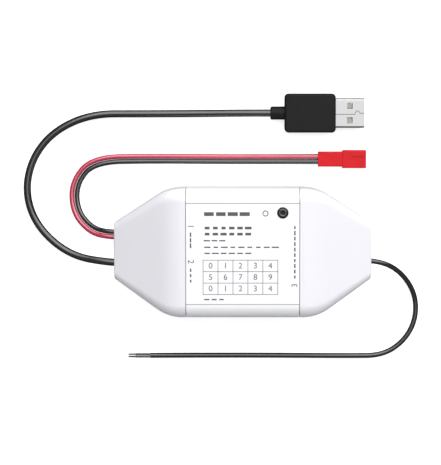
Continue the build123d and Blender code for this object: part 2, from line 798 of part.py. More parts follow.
antenna_low = shield_y + shield_width / 2 + shield_margin
antenna_high = radio_y + radio_width / 2 - shield_margin
antenna_step = (radio_length - 2 * shield_margin - antenna_trace) / (2 * antenna_turns - 1)
with BuildPart() as antenna:
    for turn in range(2 * antenna_turns):
        trace_x = radio_x - radio_length / 2 + shield_margin + antenna_trace / 2 + turn * antenna_step
        with Locations((trace_x, (antenna_low + antenna_high) / 2, radio_top)):
            Box(antenna_trace, antenna_high - antenna_low, antenna_thickness, align=MIDDLE_LOW)
        if turn > 0:
            joined_y = antenna_high - antenna_trace / 2 if turn % 2 else antenna_low + antenna_trace / 2
            with Locations((trace_x - antenna_step / 2, joined_y, radio_top)):
                Box(antenna_step, antenna_trace, antenna_thickness, align=MIDDLE_LOW)
antenna.part.label = "antenna"
export_step(antenna.part, "parts/antenna.step")

# Supply capacitor: can with its leads, and a printed sleeve round it
capacitor_low = board_top + capacitor_stand
with BuildPart() as capacitor_can:
    with Locations((capacitor_x, capacitor_y, capacitor_low)):
        Cylinder(capacitor_radius, capacitor_height, align=MIDDLE_LOW)
    fillet(capacitor_can.edges().filter_by(GeomType.CIRCLE), 2 * capacitor_stand)
    with Locations(*[(x, y, board_underside - lead_below_board) for x, y in capacitor_leads]):
        Cylinder(capacitor_lead_radius, board_thickness + lead_below_board + 2 * capacitor_stand,
                 align=MIDDLE_LOW)
capacitor_can.part.label = "capacitor_can"
export_step(capacitor_can.part, "parts/capacitor_can.step")

sleeve_margin = 2 * capacitor_stand
with BuildPart() as capacitor_sleeve:
    with Locations((capacitor_x, capacitor_y, capacitor_low + sleeve_margin)):
        Cylinder(capacitor_radius + sleeve_thickness, capacitor_height - 2 * sleeve_margin, align=MIDDLE_LOW)
        Cylinder(capacitor_radius, capacitor_height, align=MIDDLE_LOW, mode=Mode.SUBTRACT)
capacitor_sleeve.part.label = "capacitor_sleeve"
export_step(capacitor_sleeve.part, "parts/capacitor_sleeve.step")

# Regulator, relay driver, flyback diode and the small chip parts
with BuildPart() as regulator:
    with Locations((regulator_x, regulator_y, board_top)):
        Box(regulator_length, regulator_width, regulator_height, align=MIDDLE_LOW)
    chamfer(regulator.faces().sort_by(Axis.Z)[-1].edges(), regulator_tab_height / 2)
    with Locations((regulator_x, regulator_y + regulator_width / 2, board_top)):
        Box(regulator_tab_width, regulator_tab, regulator_tab_height,
            align=(Align.CENTER, Align.MIN, Align.MIN))
regulator.part.label = "regulator"
export_step(regulator.part, "parts/regulator.step")

with BuildPart() as relay_driver:
    with Locations((driver_x, driver_y, board_top)):
        Box(driver_width, driver_length, driver_height, align=MIDDLE_LOW)
relay_driver.part.label = "relay_driver"
export_step(relay_driver.part, "parts/relay_driver.step")

with BuildPart() as flyback_diode:
    with Locations((driver_x, diode_y, board_top)):
        Box(diode_width, diode_length, diode_height, align=MIDDLE_LOW)
    chamfer(flyback_diode.faces().sort_by(Axis.Z)[-1].edges(), regulator_tab_height / 2)
flyback_diode.part.label = "flyback_diode"
export_step(flyback_diode.part, "parts/flyback_diode.step")

chip_spots = (
    [(regulator_x + step * 2 * chip_length, regulator_y - regulator_width - chip_length) for step in (-1, 0, 1)]
    + [(radio_x + step * 2 * chip_length, radio_y - radio_width / 2 - chip_gap) for step in (-1, 0)]
    + [(driver_x, driver_y + driver_length + step * 2 * chip_width) for step in (0, 1)]
)
with BuildPart() as chip_parts:
    with Locations(*[(x, y, board_top) for x, y in chip_spots]):
        Box(chip_length, chip_width, chip_height, align=MIDDLE_LOW)
chip_parts.part.label = "chip_parts"
export_step(chip_parts.part, "parts/chip_parts.step")

# Relay, built up from its base: the coil stands upright on the yoke's foot, the armature lies on the
# yoke's upright and its far end carries the moving contact between two fixed ones
relay_low = board_top + relay_stand
relay_height = ceiling - relay_headroom - relay_low
relay_floor = relay_low + relay_base_height
yoke_foot_top = relay_floor + yoke_thickness
spool_centre_x = relay_x + spool_x
pole_top = relay_low + relay_height - spool_headroom - relay_wall
spool_top = pole_top - pole_height
spool_height = spool_top - yoke_foot_top
upright_x = spool_centre_x - spool_radius - yoke_clearance - yoke_thickness / 2
armature_low = pole_top + armature_gap
upright_top = armature_low - touch_gap
armature_end = spool_centre_x + pole_radius + armature_margin
armature_start = upright_x - yoke_thickness / 2
hinge_x = upright_x + yoke_thickness / 2
contact_x = armature_end + spring_reach - contact_radius
spring_low = armature_low + armature_thickness
moving_low = spring_low - contact_depth
with BuildPart() as relay_base:
    with Locations((relay_x, relay_y, relay_low)):
        Box(relay_length - 2 * (relay_wall + relay_gap), relay_width - 2 * (relay_wall + relay_gap),
            relay_base_height, align=MIDDLE_LOW)
    with Locations(*[(x, y, relay_low) for x, y in relay_pins]):
        Box(relay_pin_width + touch_gap, relay_pin_width + touch_gap, relay_base_height, align=MIDDLE_LOW,
            mode=Mode.SUBTRACT)
relay_base.part.label = "relay_base"
export_step(relay_base.part, "parts/relay_base.step")

with BuildPart() as relay_pin_set:
    with Locations(*[(x, y, board_underside - lead_below_board) for x, y in relay_pins]):
        Box(relay_pin_width, relay_pin_width, relay_floor - board_underside + lead_below_board,
            align=MIDDLE_LOW)
relay_pin_set.part.label = "relay_pins"
export_step(relay_pin_set.part, "parts/relay_pins.step")

with BuildPart() as relay_cover:
    with Locations((relay_x, relay_y, relay_low)):
        Box(relay_length, relay_width, relay_height, align=MIDDLE_LOW)
    fillet(relay_cover.edges().filter_by(Axis.Z), relay_wall)
    fillet(relay_cover.faces().sort_by(Axis.Z)[-1].edges(), relay_wall / 2)
    with Locations((relay_x, relay_y, relay_low)):
        Box(relay_length - 2 * relay_wall, relay_width - 2 * relay_wall, relay_height - relay_wall,
            align=MIDDLE_LOW, mode=Mode.SUBTRACT)
relay_cover.part.label = "relay_cover"
export_step(relay_cover.part, "parts/relay_cover.step")

with BuildPart() as relay_yoke:
    with Locations((armature_start, relay_y, relay_floor)):
        Box(spool_centre_x + spool_radius - armature_start, yoke_width, yoke_thickness,
            align=(Align.MIN, Align.CENTER, Align.MIN))
        Box(yoke_thickness, yoke_width, upright_top - relay_floor, align=(Align.MIN, Align.CENTER, Align.MIN))
    with Locations((spool_centre_x, relay_y, relay_floor)):
        Cylinder(core_radius + core_fit, yoke_thickness, align=MIDDLE_LOW, mode=Mode.SUBTRACT)
relay_yoke.part.label = "relay_yoke"
export_step(relay_yoke.part, "parts/relay_yoke.step")

with BuildPart() as relay_bobbin:
    with Locations((spool_centre_x, relay_y, yoke_foot_top)):
        Cylinder(spool_radius, spool_flange, align=MIDDLE_LOW)
        Cylinder(core_radius + spool_flange, spool_height, align=MIDDLE_LOW)
    with Locations((spool_centre_x, relay_y, spool_top)):
        Cylinder(spool_radius, spool_flange, align=MIDDLE_HIGH)
    with Locations((spool_centre_x, relay_y, yoke_foot_top)):
        Cylinder(core_radius + core_fit, spool_height, align=MIDDLE_LOW, mode=Mode.SUBTRACT)
relay_bobbin.part.label = "relay_bobbin"
export_step(relay_bobbin.part, "parts/relay_bobbin.step")

with BuildPart() as relay_coil:
    with Locations((spool_centre_x, relay_y, yoke_foot_top + spool_flange)):
        Cylinder(coil_radius, spool_height - 2 * spool_flange, align=MIDDLE_LOW)
        Cylinder(core_radius + spool_flange, spool_height - 2 * spool_flange, align=MIDDLE_LOW,
                 mode=Mode.SUBTRACT)
relay_coil.part.label = "relay_coil"
export_step(relay_coil.part, "parts/relay_coil.step")

with BuildPart() as relay_core:
    with Locations((spool_centre_x, relay_y, relay_floor)):
        Cylinder(core_radius, pole_top - relay_floor, align=MIDDLE_LOW)
    with Locations((spool_centre_x, relay_y, spool_top)):
        Cylinder(pole_radius, pole_height, align=MIDDLE_LOW)
relay_core.part.label = "relay_core"
export_step(relay_core.part, "parts/relay_core.step")

with BuildPart() as relay_armature:
    with Locations((armature_start, relay_y, armature_low)):
        Box(armature_end - armature_start, yoke_width, armature_thickness,
            align=(Align.MIN, Align.CENTER, Align.MIN))
relay_armature.part.label = "relay_armature"
export_step(relay_armature.part, "parts/relay_armature.step")

with BuildPart() as contact_spring:
    with Locations((hinge_x, relay_y, spring_low)):
        Box(armature_end + spring_reach - hinge_x, spring_width, spring_thickness,
            align=(Align.MIN, Align.CENTER, Align.MIN))
    with Locations((contact_x, relay_y, moving_low)):
        Cylinder(contact_radius, 2 * contact_depth + spring_thickness, align=MIDDLE_LOW)
contact_spring.part.label = "contact_spring"
export_step(contact_spring.part, "parts/contact_spring.step")

# Fixed contacts: one blade under the moving contact and one over it, each on its own upright
contact_swing = (contact_x + contact_radius - hinge_x) * tan(radians(armature_close))
lower_blade_top = moving_low - contact_swing - contact_gap
upper_blade_low = moving_low + 2 * contact_depth + spring_thickness + touch_gap
blade_rows = [(-1, lower_blade_top - blade_thickness), (1, upper_blade_low)]
upright_place = relay_x + relay_length / 2 - relay_wall - relay_gap - blade_thickness
with BuildPart() as fixed_contacts:
    for blade_side, blade_low in blade_rows:
        blade_outer = blade_side * (spring_width / 2 + blade_width)
        blade_inner = -blade_side * contact_radius
        with Locations((upright_place, relay_y + blade_side * (spring_width + blade_width) / 2, relay_floor)):
            Box(blade_thickness, blade_width, blade_low + blade_thickness - relay_floor,
                align=(Align.MIN, Align.CENTER, Align.MIN))
        with Locations((upright_place + blade_thickness, relay_y + (blade_outer + blade_inner) / 2, blade_low)):
            Box(upright_place + blade_thickness - contact_x + contact_radius, abs(blade_outer - blade_inner),
                blade_thickness, align=(Align.MAX, Align.CENTER, Align.MIN))
fixed_contacts.part.label = "fixed_contacts"
export_step(fixed_contacts.part, "parts/fixed_contacts.step")

# USB-A plug
shell_x = plug_neck_x + neck_length + overmould_length
shell_back = shell_x - shell_bite
shell_tip = shell_x + shell_length
with BuildPart() as usb_overmould:
    with Locations((shell_x, plug_y, plug_height)):
        Box(overmould_length, overmould_width, overmould_height, align=(Align.MAX, Align.CENTER, Align.CENTER))
    fillet(usb_overmould.edges().filter_by(Axis.Z), overmould_corner)
    fillet(usb_overmould.faces().sort_by(Axis.Z)[-1].edges(), overmould_edge)
    fillet(usb_overmould.faces().sort_by(Axis.Z)[0].edges(), overmould_edge)
    with BuildSketch(Plane.YZ.offset(plug_neck_x)):
        with Locations((plug_y, plug_height)):
            Circle(neck_radius)
    extrude(amount=neck_length + overmould_corner)
    fillet(usb_overmould.faces().sort_by(Axis.X)[0].edges(), least_radius)
    with Locations((shell_x, plug_y, plug_height)):
        Box(shell_bite, shell_width, shell_height, align=(Align.MAX, Align.CENTER, Align.CENTER),
            mode=Mode.SUBTRACT)
usb_overmould.part.label = "usb_overmould"
export_step(usb_overmould.part, "parts/usb_overmould.step")

window_x = shell_x + window_centre
with BuildPart() as usb_shell:
    with Locations((shell_back, plug_y, plug_height)):
        Box(shell_length + shell_bite, shell_width, shell_height, align=(Align.MIN, Align.CENTER, Align.CENTER))
        Box(shell_length + shell_bite, shell_width - 2 * shell_wall, shell_height - 2 * shell_wall,
            align=(Align.MIN, Align.CENTER, Align.CENTER), mode=Mode.SUBTRACT)
    with Locations(*[(window_x, plug_y + step * window_pitch, plug_height) for step in (-0.5, 0.5)]):
        Box(window_length, window_width, shell_height, mode=Mode.SUBTRACT)
usb_shell.part.label = "usb_shell"
export_step(usb_shell.part, "parts/usb_shell.step")

# The insulator fills the shell behind and runs forward as a tongue along its lower side
tongue_low_z = plug_height - shell_height / 2 + shell_wall + touch_gap
tongue_tip = shell_tip - tongue_tip_gap
insulator_width = shell_width - 2 * shell_wall - 2 * tongue_side_gap
with BuildPart() as usb_insulator:
    with Locations((shell_back, plug_y, tongue_low_z)):
        Box(tongue_tip - shell_back, insulator_width, tongue_height, align=(Align.MIN, Align.CENTER, Align.MIN))
        Box(shell_bite, insulator_width, shell_height - 2 * shell_wall - 2 * touch_gap,
            align=(Align.MIN, Align.CENTER, Align.MIN))
usb_insulator.part.label = "usb_insulator"
export_step(usb_insulator.part, "parts/usb_insulator.step")

with BuildPart() as usb_contacts:
    for step in (-1.5, -0.5, 0.5, 1.5):
        with Locations((shell_x, plug_y + step * contact_pitch, tongue_low_z + tongue_height)):
            Box(contact_length, contact_width, contact_height, align=(Align.MIN, Align.CENTER, Align.MIN))
usb_contacts.part.label = "usb_contacts"
export_step(usb_contacts.part, "parts/usb_contacts.step")

# Two-way connector: a body with two wire bores and a hood open to +X with a latch groove on top
hood_x = connector_x + connector_body_length
connector_tip = hood_x + connector_hood_length
wire_places = (connector_y - sensor_spread / 2, connector_y + sensor_spread / 2)
with BuildPart() as sensor_connector:
    with Locations((connector_x, connector_y, connector_height)):
        Box(connector_body_length, connector_body_width, connector_body_height,
            align=(Align.MIN, Align.CENTER, Align.CENTER))
    with Locations((hood_x, connector_y, connector_height)):
        Box(connector_hood_length, connector_hood_width, connector_hood_height,
            align=(Align.MIN, Align.CENTER, Align.CENTER))
    fillet(sensor_connector.edges().filter_by(Axis.X), connector_corner)
    with Locations((hood_x + connector_back_wall, connector_y, connector_height)):
        Box(connector_hood_length, connector_hood_width - 2 * connector_wall,
            connector_hood_height - 2 * connector_wall, align=(Align.MIN, Align.CENTER, Align.CENTER),
            mode=Mode.SUBTRACT)
    with Locations((connector_tip - latch_length, connector_y, connector_height + connector_hood_height / 2)):
        Box(latch_length, latch_width, latch_height, align=(Align.MIN, Align.CENTER, Align.MAX),
            mode=Mode.SUBTRACT)
    with BuildSketch(Plane.YZ.offset(connector_x)):
        with Locations(*[(y, connector_height) for y in wire_places]):
            Circle(connector_bore_radius)
    extrude(amount=latch_width, mode=Mode.SUBTRACT)
    with BuildSketch(Plane.YZ.offset(connector_x + latch_width)):
        with Locations(*[(y, connector_height) for y in wire_places]):
            Rectangle(contact_blade_width + 2 * touch_gap, contact_blade_width + 2 * touch_gap)
    extrude(amount=connector_body_length, mode=Mode.SUBTRACT)
sensor_connector.part.label = "sensor_connector"
export_step(sensor_connector.part, "parts/sensor_connector.step")

with BuildPart() as connector_contacts:
    with Locations(*[(connector_x + latch_width, y, connector_height) for y in wire_places]):
        Box(hood_x - connector_x - latch_width + connector_back_wall + contact_blade_reach,
            contact_blade_width, contact_blade_width, align=(Align.MIN, Align.CENTER, Align.CENTER))
connector_contacts.part.label = "connector_contacts"
export_step(connector_contacts.part, "parts/connector_contacts.step")

# Free cords. Each route is its own list of points, from just inside the housing's end to the far end
power_route = [
    (-cord_start, power_outlet_y, cord_height),
    (-54.5, power_outlet_y, cord_height),
    (-67.0, -4.8, 3.4),
    (-84.5, 11.4, 1.5),
    (-90.4, 30.4, 1.5),
    (-82.0, 45.2, 1.5),
    (-68.3, 54.7, 1.5),
    (-52.0, 55.8, 1.5),
    (-20.3, 56.1, 1.5),
    (0.0, plug_y, plug_height),
    (plug_neck_x, plug_y, plug_height),
]
red_route = [
    (-cord_start, red_outlet_y, cord_height),
    (-54.6, red_outlet_y, cord_height),
    (-62.6, 6.9, 4.9),
    (-70.0, 14.9, 1.9),
    (-70.6, 27.6, 1.0),
    (-61.9, 37.9, 1.0),
    (-38.0, 38.3, 1.0),
    (-8.0, 38.05, 1.0),
    (17.0, wire_places[1], connector_height),
    (connector_x, wire_places[1], connector_height),
]
black_route = [
    (-cord_start, black_outlet_y, cord_height),
    (-54.4, black_outlet_y, cord_height),
    (-61.5, 8.8, 4.9),
    (-67.9, 15.8, 1.9),
    (-68.4, 26.8, 1.0),
    (-60.9, 35.8, 1.0),
    (-38.0, 36.2, 1.0),
    (-8.0, 35.97, 1.0),
    (17.0, wire_places[0], connector_height),
    (connector_x, wire_places[0], connector_height),
]
signal_route = [
    (cord_start, signal_outlet_y, cord_height),
    (55.2, signal_outlet_y, cord_height),
    (62.6, -7.6, 4.0),
    (71.0, -16.3, 1.05),
    (72.0, -31.0, 1.05),
    (61.0, -43.9, 1.05),
    (30.5, -44.6, 1.05),
    (-4.0, -44.2, 1.05),
    (-38.2, -44.36, 1.05),
]


def corner_radii(name, route):
    """An arc for each corner, as large as its two runs allow."""
    radii = []
    for before, corner, after in zip(route, route[1:], route[2:]):
        run_in = Vector(*corner) - Vector(*before)
        run_out = Vector(*after) - Vector(*corner)
        turn = radians(run_in.get_angle(run_out))
        radii.append(bend_share * min(run_in.length, run_out.length) / tan(turn / 2))
    print(name, "radii", [round(radius, 1) for radius in radii])
    return radii


cord_rows = [
    ("power_cord", power_route, power_diameter),
    ("red_wire", red_route, sensor_diameter),
    ("black_wire", black_route, sensor_diameter),
    ("signal_cord", signal_route, signal_diameter),
]
for name, route, diameter in cord_rows:
    with BuildPart() as cord:
        with BuildLine() as cord_path:
            FilletPolyline(*route, radius=corner_radii(name, route))
        with BuildSketch(Plane(origin=cord_path.line @ 0, z_dir=cord_path.line % 0)) as cord_section:
            Circle(diameter / 2)
        sweep(path=cord_path.line)
    cord_length = cord_path.wires()[0].length
    volume_share = cord.part.volume / (cord_section.sketch.area * cord_length)
    print(name, "length", round(cord_length, 1), "volume share", round(volume_share, 4))
    cord.part.label = name
    export_step(cord.part, f"parts/{name}.step")

# The signal cord's two single wires and their bare tips
wire_end_x, wire_end_y, wire_end_z = signal_route[-1]
end_spots = [(wire_end_y + step * end_wire_spread, wire_end_z) for step in (-0.5, 0.5)]
with BuildPart() as signal_wire_ends:
    with BuildSketch(Plane.YZ.offset(wire_end_x)):
        with Locations(*end_spots):
            Circle(end_wire_radius)
    extrude(amount=-end_wire_length)
signal_wire_ends.part.label = "signal_wire_ends"
export_step(signal_wire_ends.part, "parts/signal_wire_ends.step")

with BuildPart() as signal_wire_tips:
    with BuildSketch(Plane.YZ.offset(wire_end_x - end_wire_length)):
        with Locations(*end_spots):
            Circle(end_tip_radius)
    extrude(amount=-end_tip_length)
signal_wire_tips.part.label = "signal_wire_tips"
export_step(signal_wire_tips.part, "parts/signal_wire_tips.step")
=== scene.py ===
import json
import math

import bmesh
import bpy
from bpy.props import FloatProperty, FloatVectorProperty, IntProperty, PointerProperty
from mathutils import Matrix, Vector


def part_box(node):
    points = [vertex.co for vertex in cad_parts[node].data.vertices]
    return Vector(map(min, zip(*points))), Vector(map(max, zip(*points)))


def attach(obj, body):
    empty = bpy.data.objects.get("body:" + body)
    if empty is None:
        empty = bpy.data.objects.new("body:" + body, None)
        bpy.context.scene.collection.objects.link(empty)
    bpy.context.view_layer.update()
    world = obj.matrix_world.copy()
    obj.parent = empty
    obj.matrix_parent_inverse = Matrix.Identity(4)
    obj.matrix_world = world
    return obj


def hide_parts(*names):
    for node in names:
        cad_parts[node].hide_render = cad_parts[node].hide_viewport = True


bl_info = {
    "name": "Garage door controller looks",
    "version": (1, 0, 0),
    "blender": (4, 5, 0),
    "location": "3D View > Sidebar > Controller",
    "description": "Cords, label print, finishes and studio for the packed garage door controller",
    "category": "Object",
}

MM = 0.001

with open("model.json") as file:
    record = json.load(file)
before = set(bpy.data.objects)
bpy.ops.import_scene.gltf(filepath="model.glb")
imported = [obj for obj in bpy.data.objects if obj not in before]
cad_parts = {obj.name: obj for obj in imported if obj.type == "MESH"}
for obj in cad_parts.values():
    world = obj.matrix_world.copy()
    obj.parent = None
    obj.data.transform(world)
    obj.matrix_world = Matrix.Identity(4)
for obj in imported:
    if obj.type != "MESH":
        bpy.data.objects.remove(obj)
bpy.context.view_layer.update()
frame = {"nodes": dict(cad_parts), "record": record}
node_slots = {entry["node"]: entry["material_slot"] for entry in frame["record"]["subparts"]}


def node_size(name):
    """A CAD node's length, width and height."""
    low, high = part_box(name)
    return high - low


# Routes of the free cords, in metres, from just inside the housing's end to the far end
power_route = [
    (-0.048, -0.0052, 0.0075),
    (-0.0545, -0.0052, 0.0075),
    (-0.071, -0.0026, 0.0034),
    (-0.0844, 0.0086, 0.0015),
    (-0.0895, 0.0226, 0.0015),
    (-0.0868, 0.037, 0.0015),
    (-0.0776, 0.0486, 0.0015),
    (-0.0621, 0.0556, 0.0015),
    (-0.0424, 0.0556, 0.0015),
    (-0.0203, 0.0557, 0.0015),
    (0.0, 0.05595, 0.004),
    (0.0113, 0.05595, 0.004),
]
red_route = [
    (-0.048, 0.0053, 0.0075),
    (-0.0546, 0.0053, 0.0075),
    (-0.0626, 0.0069, 0.0049),
    (-0.07, 0.0149, 0.0019),
    (-0.0706, 0.0276, 0.001),
    (-0.0619, 0.0379, 0.001),
    (-0.038, 0.0383, 0.001),
    (-0.008, 0.03805, 0.001),
    (0.017, 0.03814, 0.0026),
    (0.0309, 0.03814, 0.0026),
]
black_route = [
    (-0.048, 0.00738, 0.0075),
    (-0.0544, 0.00738, 0.0075),
    (-0.0615, 0.0088, 0.0049),
    (-0.0679, 0.0158, 0.0019),
    (-0.0684, 0.0268, 0.001),
    (-0.0609, 0.0358, 0.001),
    (-0.038, 0.0362, 0.001),
    (-0.008, 0.03597, 0.001),
    (0.017, 0.03606, 0.0026),
    (0.0309, 0.03606, 0.0026),
]
signal_route = [
    (0.048, -0.0042, 0.0075),
    (0.0552, -0.0042, 0.0075),
    (0.0644, -0.0085, 0.004),
    (0.0712, -0.0178, 0.00105),
    (0.0719, -0.0287, 0.00105),
    (0.0671, -0.0382, 0.00105),
    (0.058, -0.0443, 0.00105),
    (0.045, -0.0445, 0.00105),
    (-0.004, -0.0442, 0.00105),
    (-0.0382, -0.04436, 0.00105),
]


class HousingLook(bpy.types.PropertyGroup):
    """Colours and moulded texture of the housing, its label panel and its button"""

    # The end covers' bluish white is set darker than the centre cover's, as painted shade for their sloping tops
    painted_shade_cover_colour: FloatVectorProperty(
        name="End cover colour", description="Colour of the two end covers", subtype="COLOR", min=0, max=1,
        default=(0.81, 0.805, 0.842))
    centre_colour: FloatVectorProperty(
        name="Centre cover colour", description="Colour of the centre cover", subtype="COLOR", min=0, max=1,
        default=(0.9, 0.9, 0.91))
    tray_colour: FloatVectorProperty(
        name="Tray colour", description="Colour of the tray under the covers", subtype="COLOR", min=0, max=1,
        default=(0.8, 0.8, 0.82))
    label_colour: FloatVectorProperty(
        name="Label colour", description="Colour of the label panel", subtype="COLOR", min=0, max=1,
        default=(0.9, 0.9, 0.91))
    button_colour: FloatVectorProperty(
        name="Button colour", description="Colour of the button", subtype="COLOR", min=0, max=1,
        default=(0.005, 0.005, 0.0055))
    texture_size: FloatProperty(
        name="Texture size", description="Size of one grain of the moulded texture", unit="LENGTH",
        default=0.35 * MM, precision=5)
    texture_depth: FloatProperty(
        name="Texture depth", description="Height of the moulded texture", unit="LENGTH",
        default=0.004 * MM, precision=6)


class CordLook(bpy.types.PropertyGroup):
    """Sizes and colours of the cords, the plug and the connector"""

    power_diameter: FloatProperty(
        name="Power cord", description="Diameter of the power cord", unit="LENGTH",
        default=node_size("power_cord_inner").y, precision=4)
    wire_diameter: FloatProperty(
        name="Sensor wires", description="Diameter of the red and the black wire", unit="LENGTH",
        default=node_size("red_wire_inner").y, precision=4)
    signal_diameter: FloatProperty(
        name="Signal cord", description="Diameter of the signal cord", unit="LENGTH",
        default=node_size("signal_cord_inner").y, precision=4)
    jacket_colour: FloatVectorProperty(
        name="Jacket colour", description="Colour of the black jackets", subtype="COLOR", min=0, max=1,
        default=(0.006, 0.006, 0.0065))
    red_colour: FloatVectorProperty(
        name="Red wire", description="Colour of the red wire", subtype="COLOR", min=0, max=1,
        default=(0.52, 0.018, 0.07))
    plug_colour: FloatVectorProperty(
        name="Plug colour", description="Colour of the plug's overmould", subtype="COLOR", min=0, max=1,
        default=(0.011, 0.011, 0.0105))
    connector_colour: FloatVectorProperty(
        name="Connector colour", description="Colour of the red connector", subtype="COLOR", min=0, max=1,
        default=(0.66, 0.012, 0.018))


class PrintLook(bpy.types.PropertyGroup):
    """Sizes and ink of the generic print on the label panel, and the painted shade lines along its two long edges"""

    ink_colour: FloatVectorProperty(
        name="Ink", description="Colour of the printed marks", subtype="COLOR", min=0, max=1,
        default=(0.085, 0.085, 0.09))
    ink_thickness: FloatProperty(
        name="Ink thickness", description="Height of the print over the label", unit="LENGTH",
        default=0.02 * MM, precision=6)
    number_height: FloatProperty(
        name="Number height", description="Height of the outlet numbers", unit="LENGTH",
        default=3.4 * MM, precision=4)
    outlet_pitch: FloatProperty(
        name="Outlet bar pitch", description="From one bar beside an outlet number to the next", unit="LENGTH",
        default=2.2 * MM, precision=4)
    outlet_bar: FloatProperty(
        name="Outlet bar width", description="Width of the bars beside the outlet numbers", unit="LENGTH",
        default=0.6 * MM, precision=4)
    rule_width: FloatProperty(
        name="Rule width", description="Width of the chart's lines", unit="LENGTH",
        default=0.22 * MM, precision=5)
    # Two grey lines of painted shade stand for the gaps along the label's long edges
    border_width: FloatProperty(
        name="Border width", description="Width of the label's two border lines", unit="LENGTH",
        default=0.35 * MM, precision=5)
    gap_shade_colour: FloatVectorProperty(
        name="Border colour", description="Colour of the label's two border lines", subtype="COLOR", min=0, max=1,
        default=(0.37, 0.37, 0.385))
    chart_columns: IntProperty(
        name="Chart columns", description="Columns of the ruled chart", default=5, min=1)
    chart_rows: IntProperty(
        name="Chart rows", description="Rows of the ruled chart", default=3, min=1)


class StudioLook(bpy.types.PropertyGroup):
    """Camera, floor and lights"""

    camera_tilt: FloatProperty(
        name="Camera tilt", description="How far the camera leans away from straight down", subtype="ANGLE",
        default=math.radians(5))
    camera_distance: FloatProperty(
        name="Camera distance", description="From the aim point to the camera", unit="LENGTH", default=0.77)
    aim_height: FloatProperty(
        name="Aim height", description="Height of the aim point over the floor", unit="LENGTH", default=0.013)
    focal_pixels: FloatProperty(
        name="Focal length", description="Focal length in photograph pixels", default=1894)
    floor_colour: FloatVectorProperty(
        name="Floor colour", description="Colour of the floor", subtype="COLOR", min=0, max=1,
        default=(0.9, 0.9, 0.9))
    floor_glow: FloatProperty(
        name="Floor glow", description="Light that the lit table shows to the camera", default=0.62)
    key_power: FloatProperty(
        name="Key light", description="Power of the wide panel behind the controller", unit="POWER", default=21.5)
    top_power: FloatProperty(
        name="Top light", description="Power of the light overhead", unit="POWER", default=8.1)
    sky_strength: FloatProperty(
        name="Sky", description="Brightness of the rest of the room", default=0.28)


# The scene's property names and their groups
LOOKS = {
    "controller_housing": HousingLook,
    "controller_cords": CordLook,
    "controller_print": PrintLook,
    "controller_studio": StudioLook,
}


# Shader node groups, each made once


def group_with(name, kind, inputs, outputs):
    """A new node group with named sockets, and its two end nodes. An input may bring its default value."""
    tree = bpy.data.node_groups.new(name, kind)
    for label, socket_type, *default in inputs:
        socket = tree.interface.new_socket(label, in_out="INPUT", socket_type=socket_type)
        if default:
            socket.default_value = default[0]
    for label, socket_type in outputs:
        tree.interface.new_socket(label, in_out="OUTPUT", socket_type=socket_type)
    return tree, tree.nodes.new("NodeGroupInput"), tree.nodes.new("NodeGroupOutput")


def feed(tree, socket, value):
    """Links an input to another node's socket, or sets it to a plain value."""
    if isinstance(value, bpy.types.NodeSocket):
        tree.links.new(value, socket)
    else:
        socket.default_value = value


def math_node(tree, operation, first, second):
    """The result of a Math node whose inputs are sockets or numbers."""
    node = tree.nodes.new("ShaderNodeMath")
    node.operation = operation
    for socket, value in zip(node.inputs, (first, second)):
        feed(tree, socket, value)
    return node.outputs["Value"]


def mixed_colour(tree, factor, first, second):
    """A blend of two colours, each a socket or a plain value."""
    node = tree.nodes.new("ShaderNodeMix")
    node.data_type = "RGBA"
    for label, value in (("Factor", factor), ("A", first), ("B", second)):
        feed(tree, node.inputs[label], value)
    return node.outputs["Result"]


def noise_node(tree, vector, scale, detail):
    """The values of a noise texture on the given coordinates."""
    node = tree.nodes.new("ShaderNodeTexNoise")
    node.inputs["Detail"].default_value = detail
    tree.links.new(vector, node.inputs["Vector"])
    tree.links.new(scale, node.inputs["Scale"])
    return node.outputs["Fac"]


def surface_grain():
    """Fine grain of a moulded or drawn surface, stretched along X where asked, and a slow drift of its shine."""
    if "surface_grain" in bpy.data.node_groups:
        return bpy.data.node_groups["surface_grain"]
    drift_in_grains = 14.0
    tree, given, made = group_with(
        "surface_grain", "ShaderNodeTree",
        [("Size", "NodeSocketFloat", MM), ("Stretch", "NodeSocketFloat", 1.0)],
        [("Height", "NodeSocketFloat"), ("Shine", "NodeSocketFloat")])
    place = tree.nodes.new("ShaderNodeTexCoord")
    scale = math_node(tree, "DIVIDE", 1.0, given.outputs["Size"])
    drawn = tree.nodes.new("ShaderNodeCombineXYZ")
    tree.links.new(math_node(tree, "DIVIDE", 1.0, given.outputs["Stretch"]), drawn.inputs["X"])
    drawn.inputs["Y"].default_value = drawn.inputs["Z"].default_value = 1.0
    stretched = tree.nodes.new("ShaderNodeVectorMath")
    stretched.operation = "MULTIPLY"
    tree.links.new(place.outputs["Object"], stretched.inputs[0])
    tree.links.new(drawn.outputs["Vector"], stretched.inputs[1])
    fine = noise_node(tree, stretched.outputs["Vector"], scale, detail=3.0)
    coarse_scale = math_node(tree, "DIVIDE", scale, drift_in_grains)
    coarse = noise_node(tree, stretched.outputs["Vector"], coarse_scale, detail=2.0)
    tree.links.new(fine, made.inputs["Height"])
    tree.links.new(coarse, made.inputs["Shine"])
    return tree


def cast_tone():
    """A colour that drifts slightly towards a second one, as in moulded plastic."""
    if "cast_tone" in bpy.data.node_groups:
        return bpy.data.node_groups["cast_tone"]
    tree, given, made = group_with(
        "cast_tone", "ShaderNodeTree",
        [("Colour", "NodeSocketColor", (1, 1, 1, 1)), ("Second", "NodeSocketColor", (1, 1, 1, 1)),
         ("Size", "NodeSocketFloat", 10 * MM)],
        [("Colour", "NodeSocketColor")])
    place = tree.nodes.new("ShaderNodeTexCoord")
    scale = math_node(tree, "DIVIDE", 1.0, given.outputs["Size"])
    drift = noise_node(tree, place.outputs["Object"], scale, detail=2.0)
    drifting = mixed_colour(tree, drift, given.outputs["Colour"], given.outputs["Second"])
    tree.links.new(drifting, made.inputs["Colour"])
    return tree


# Materials


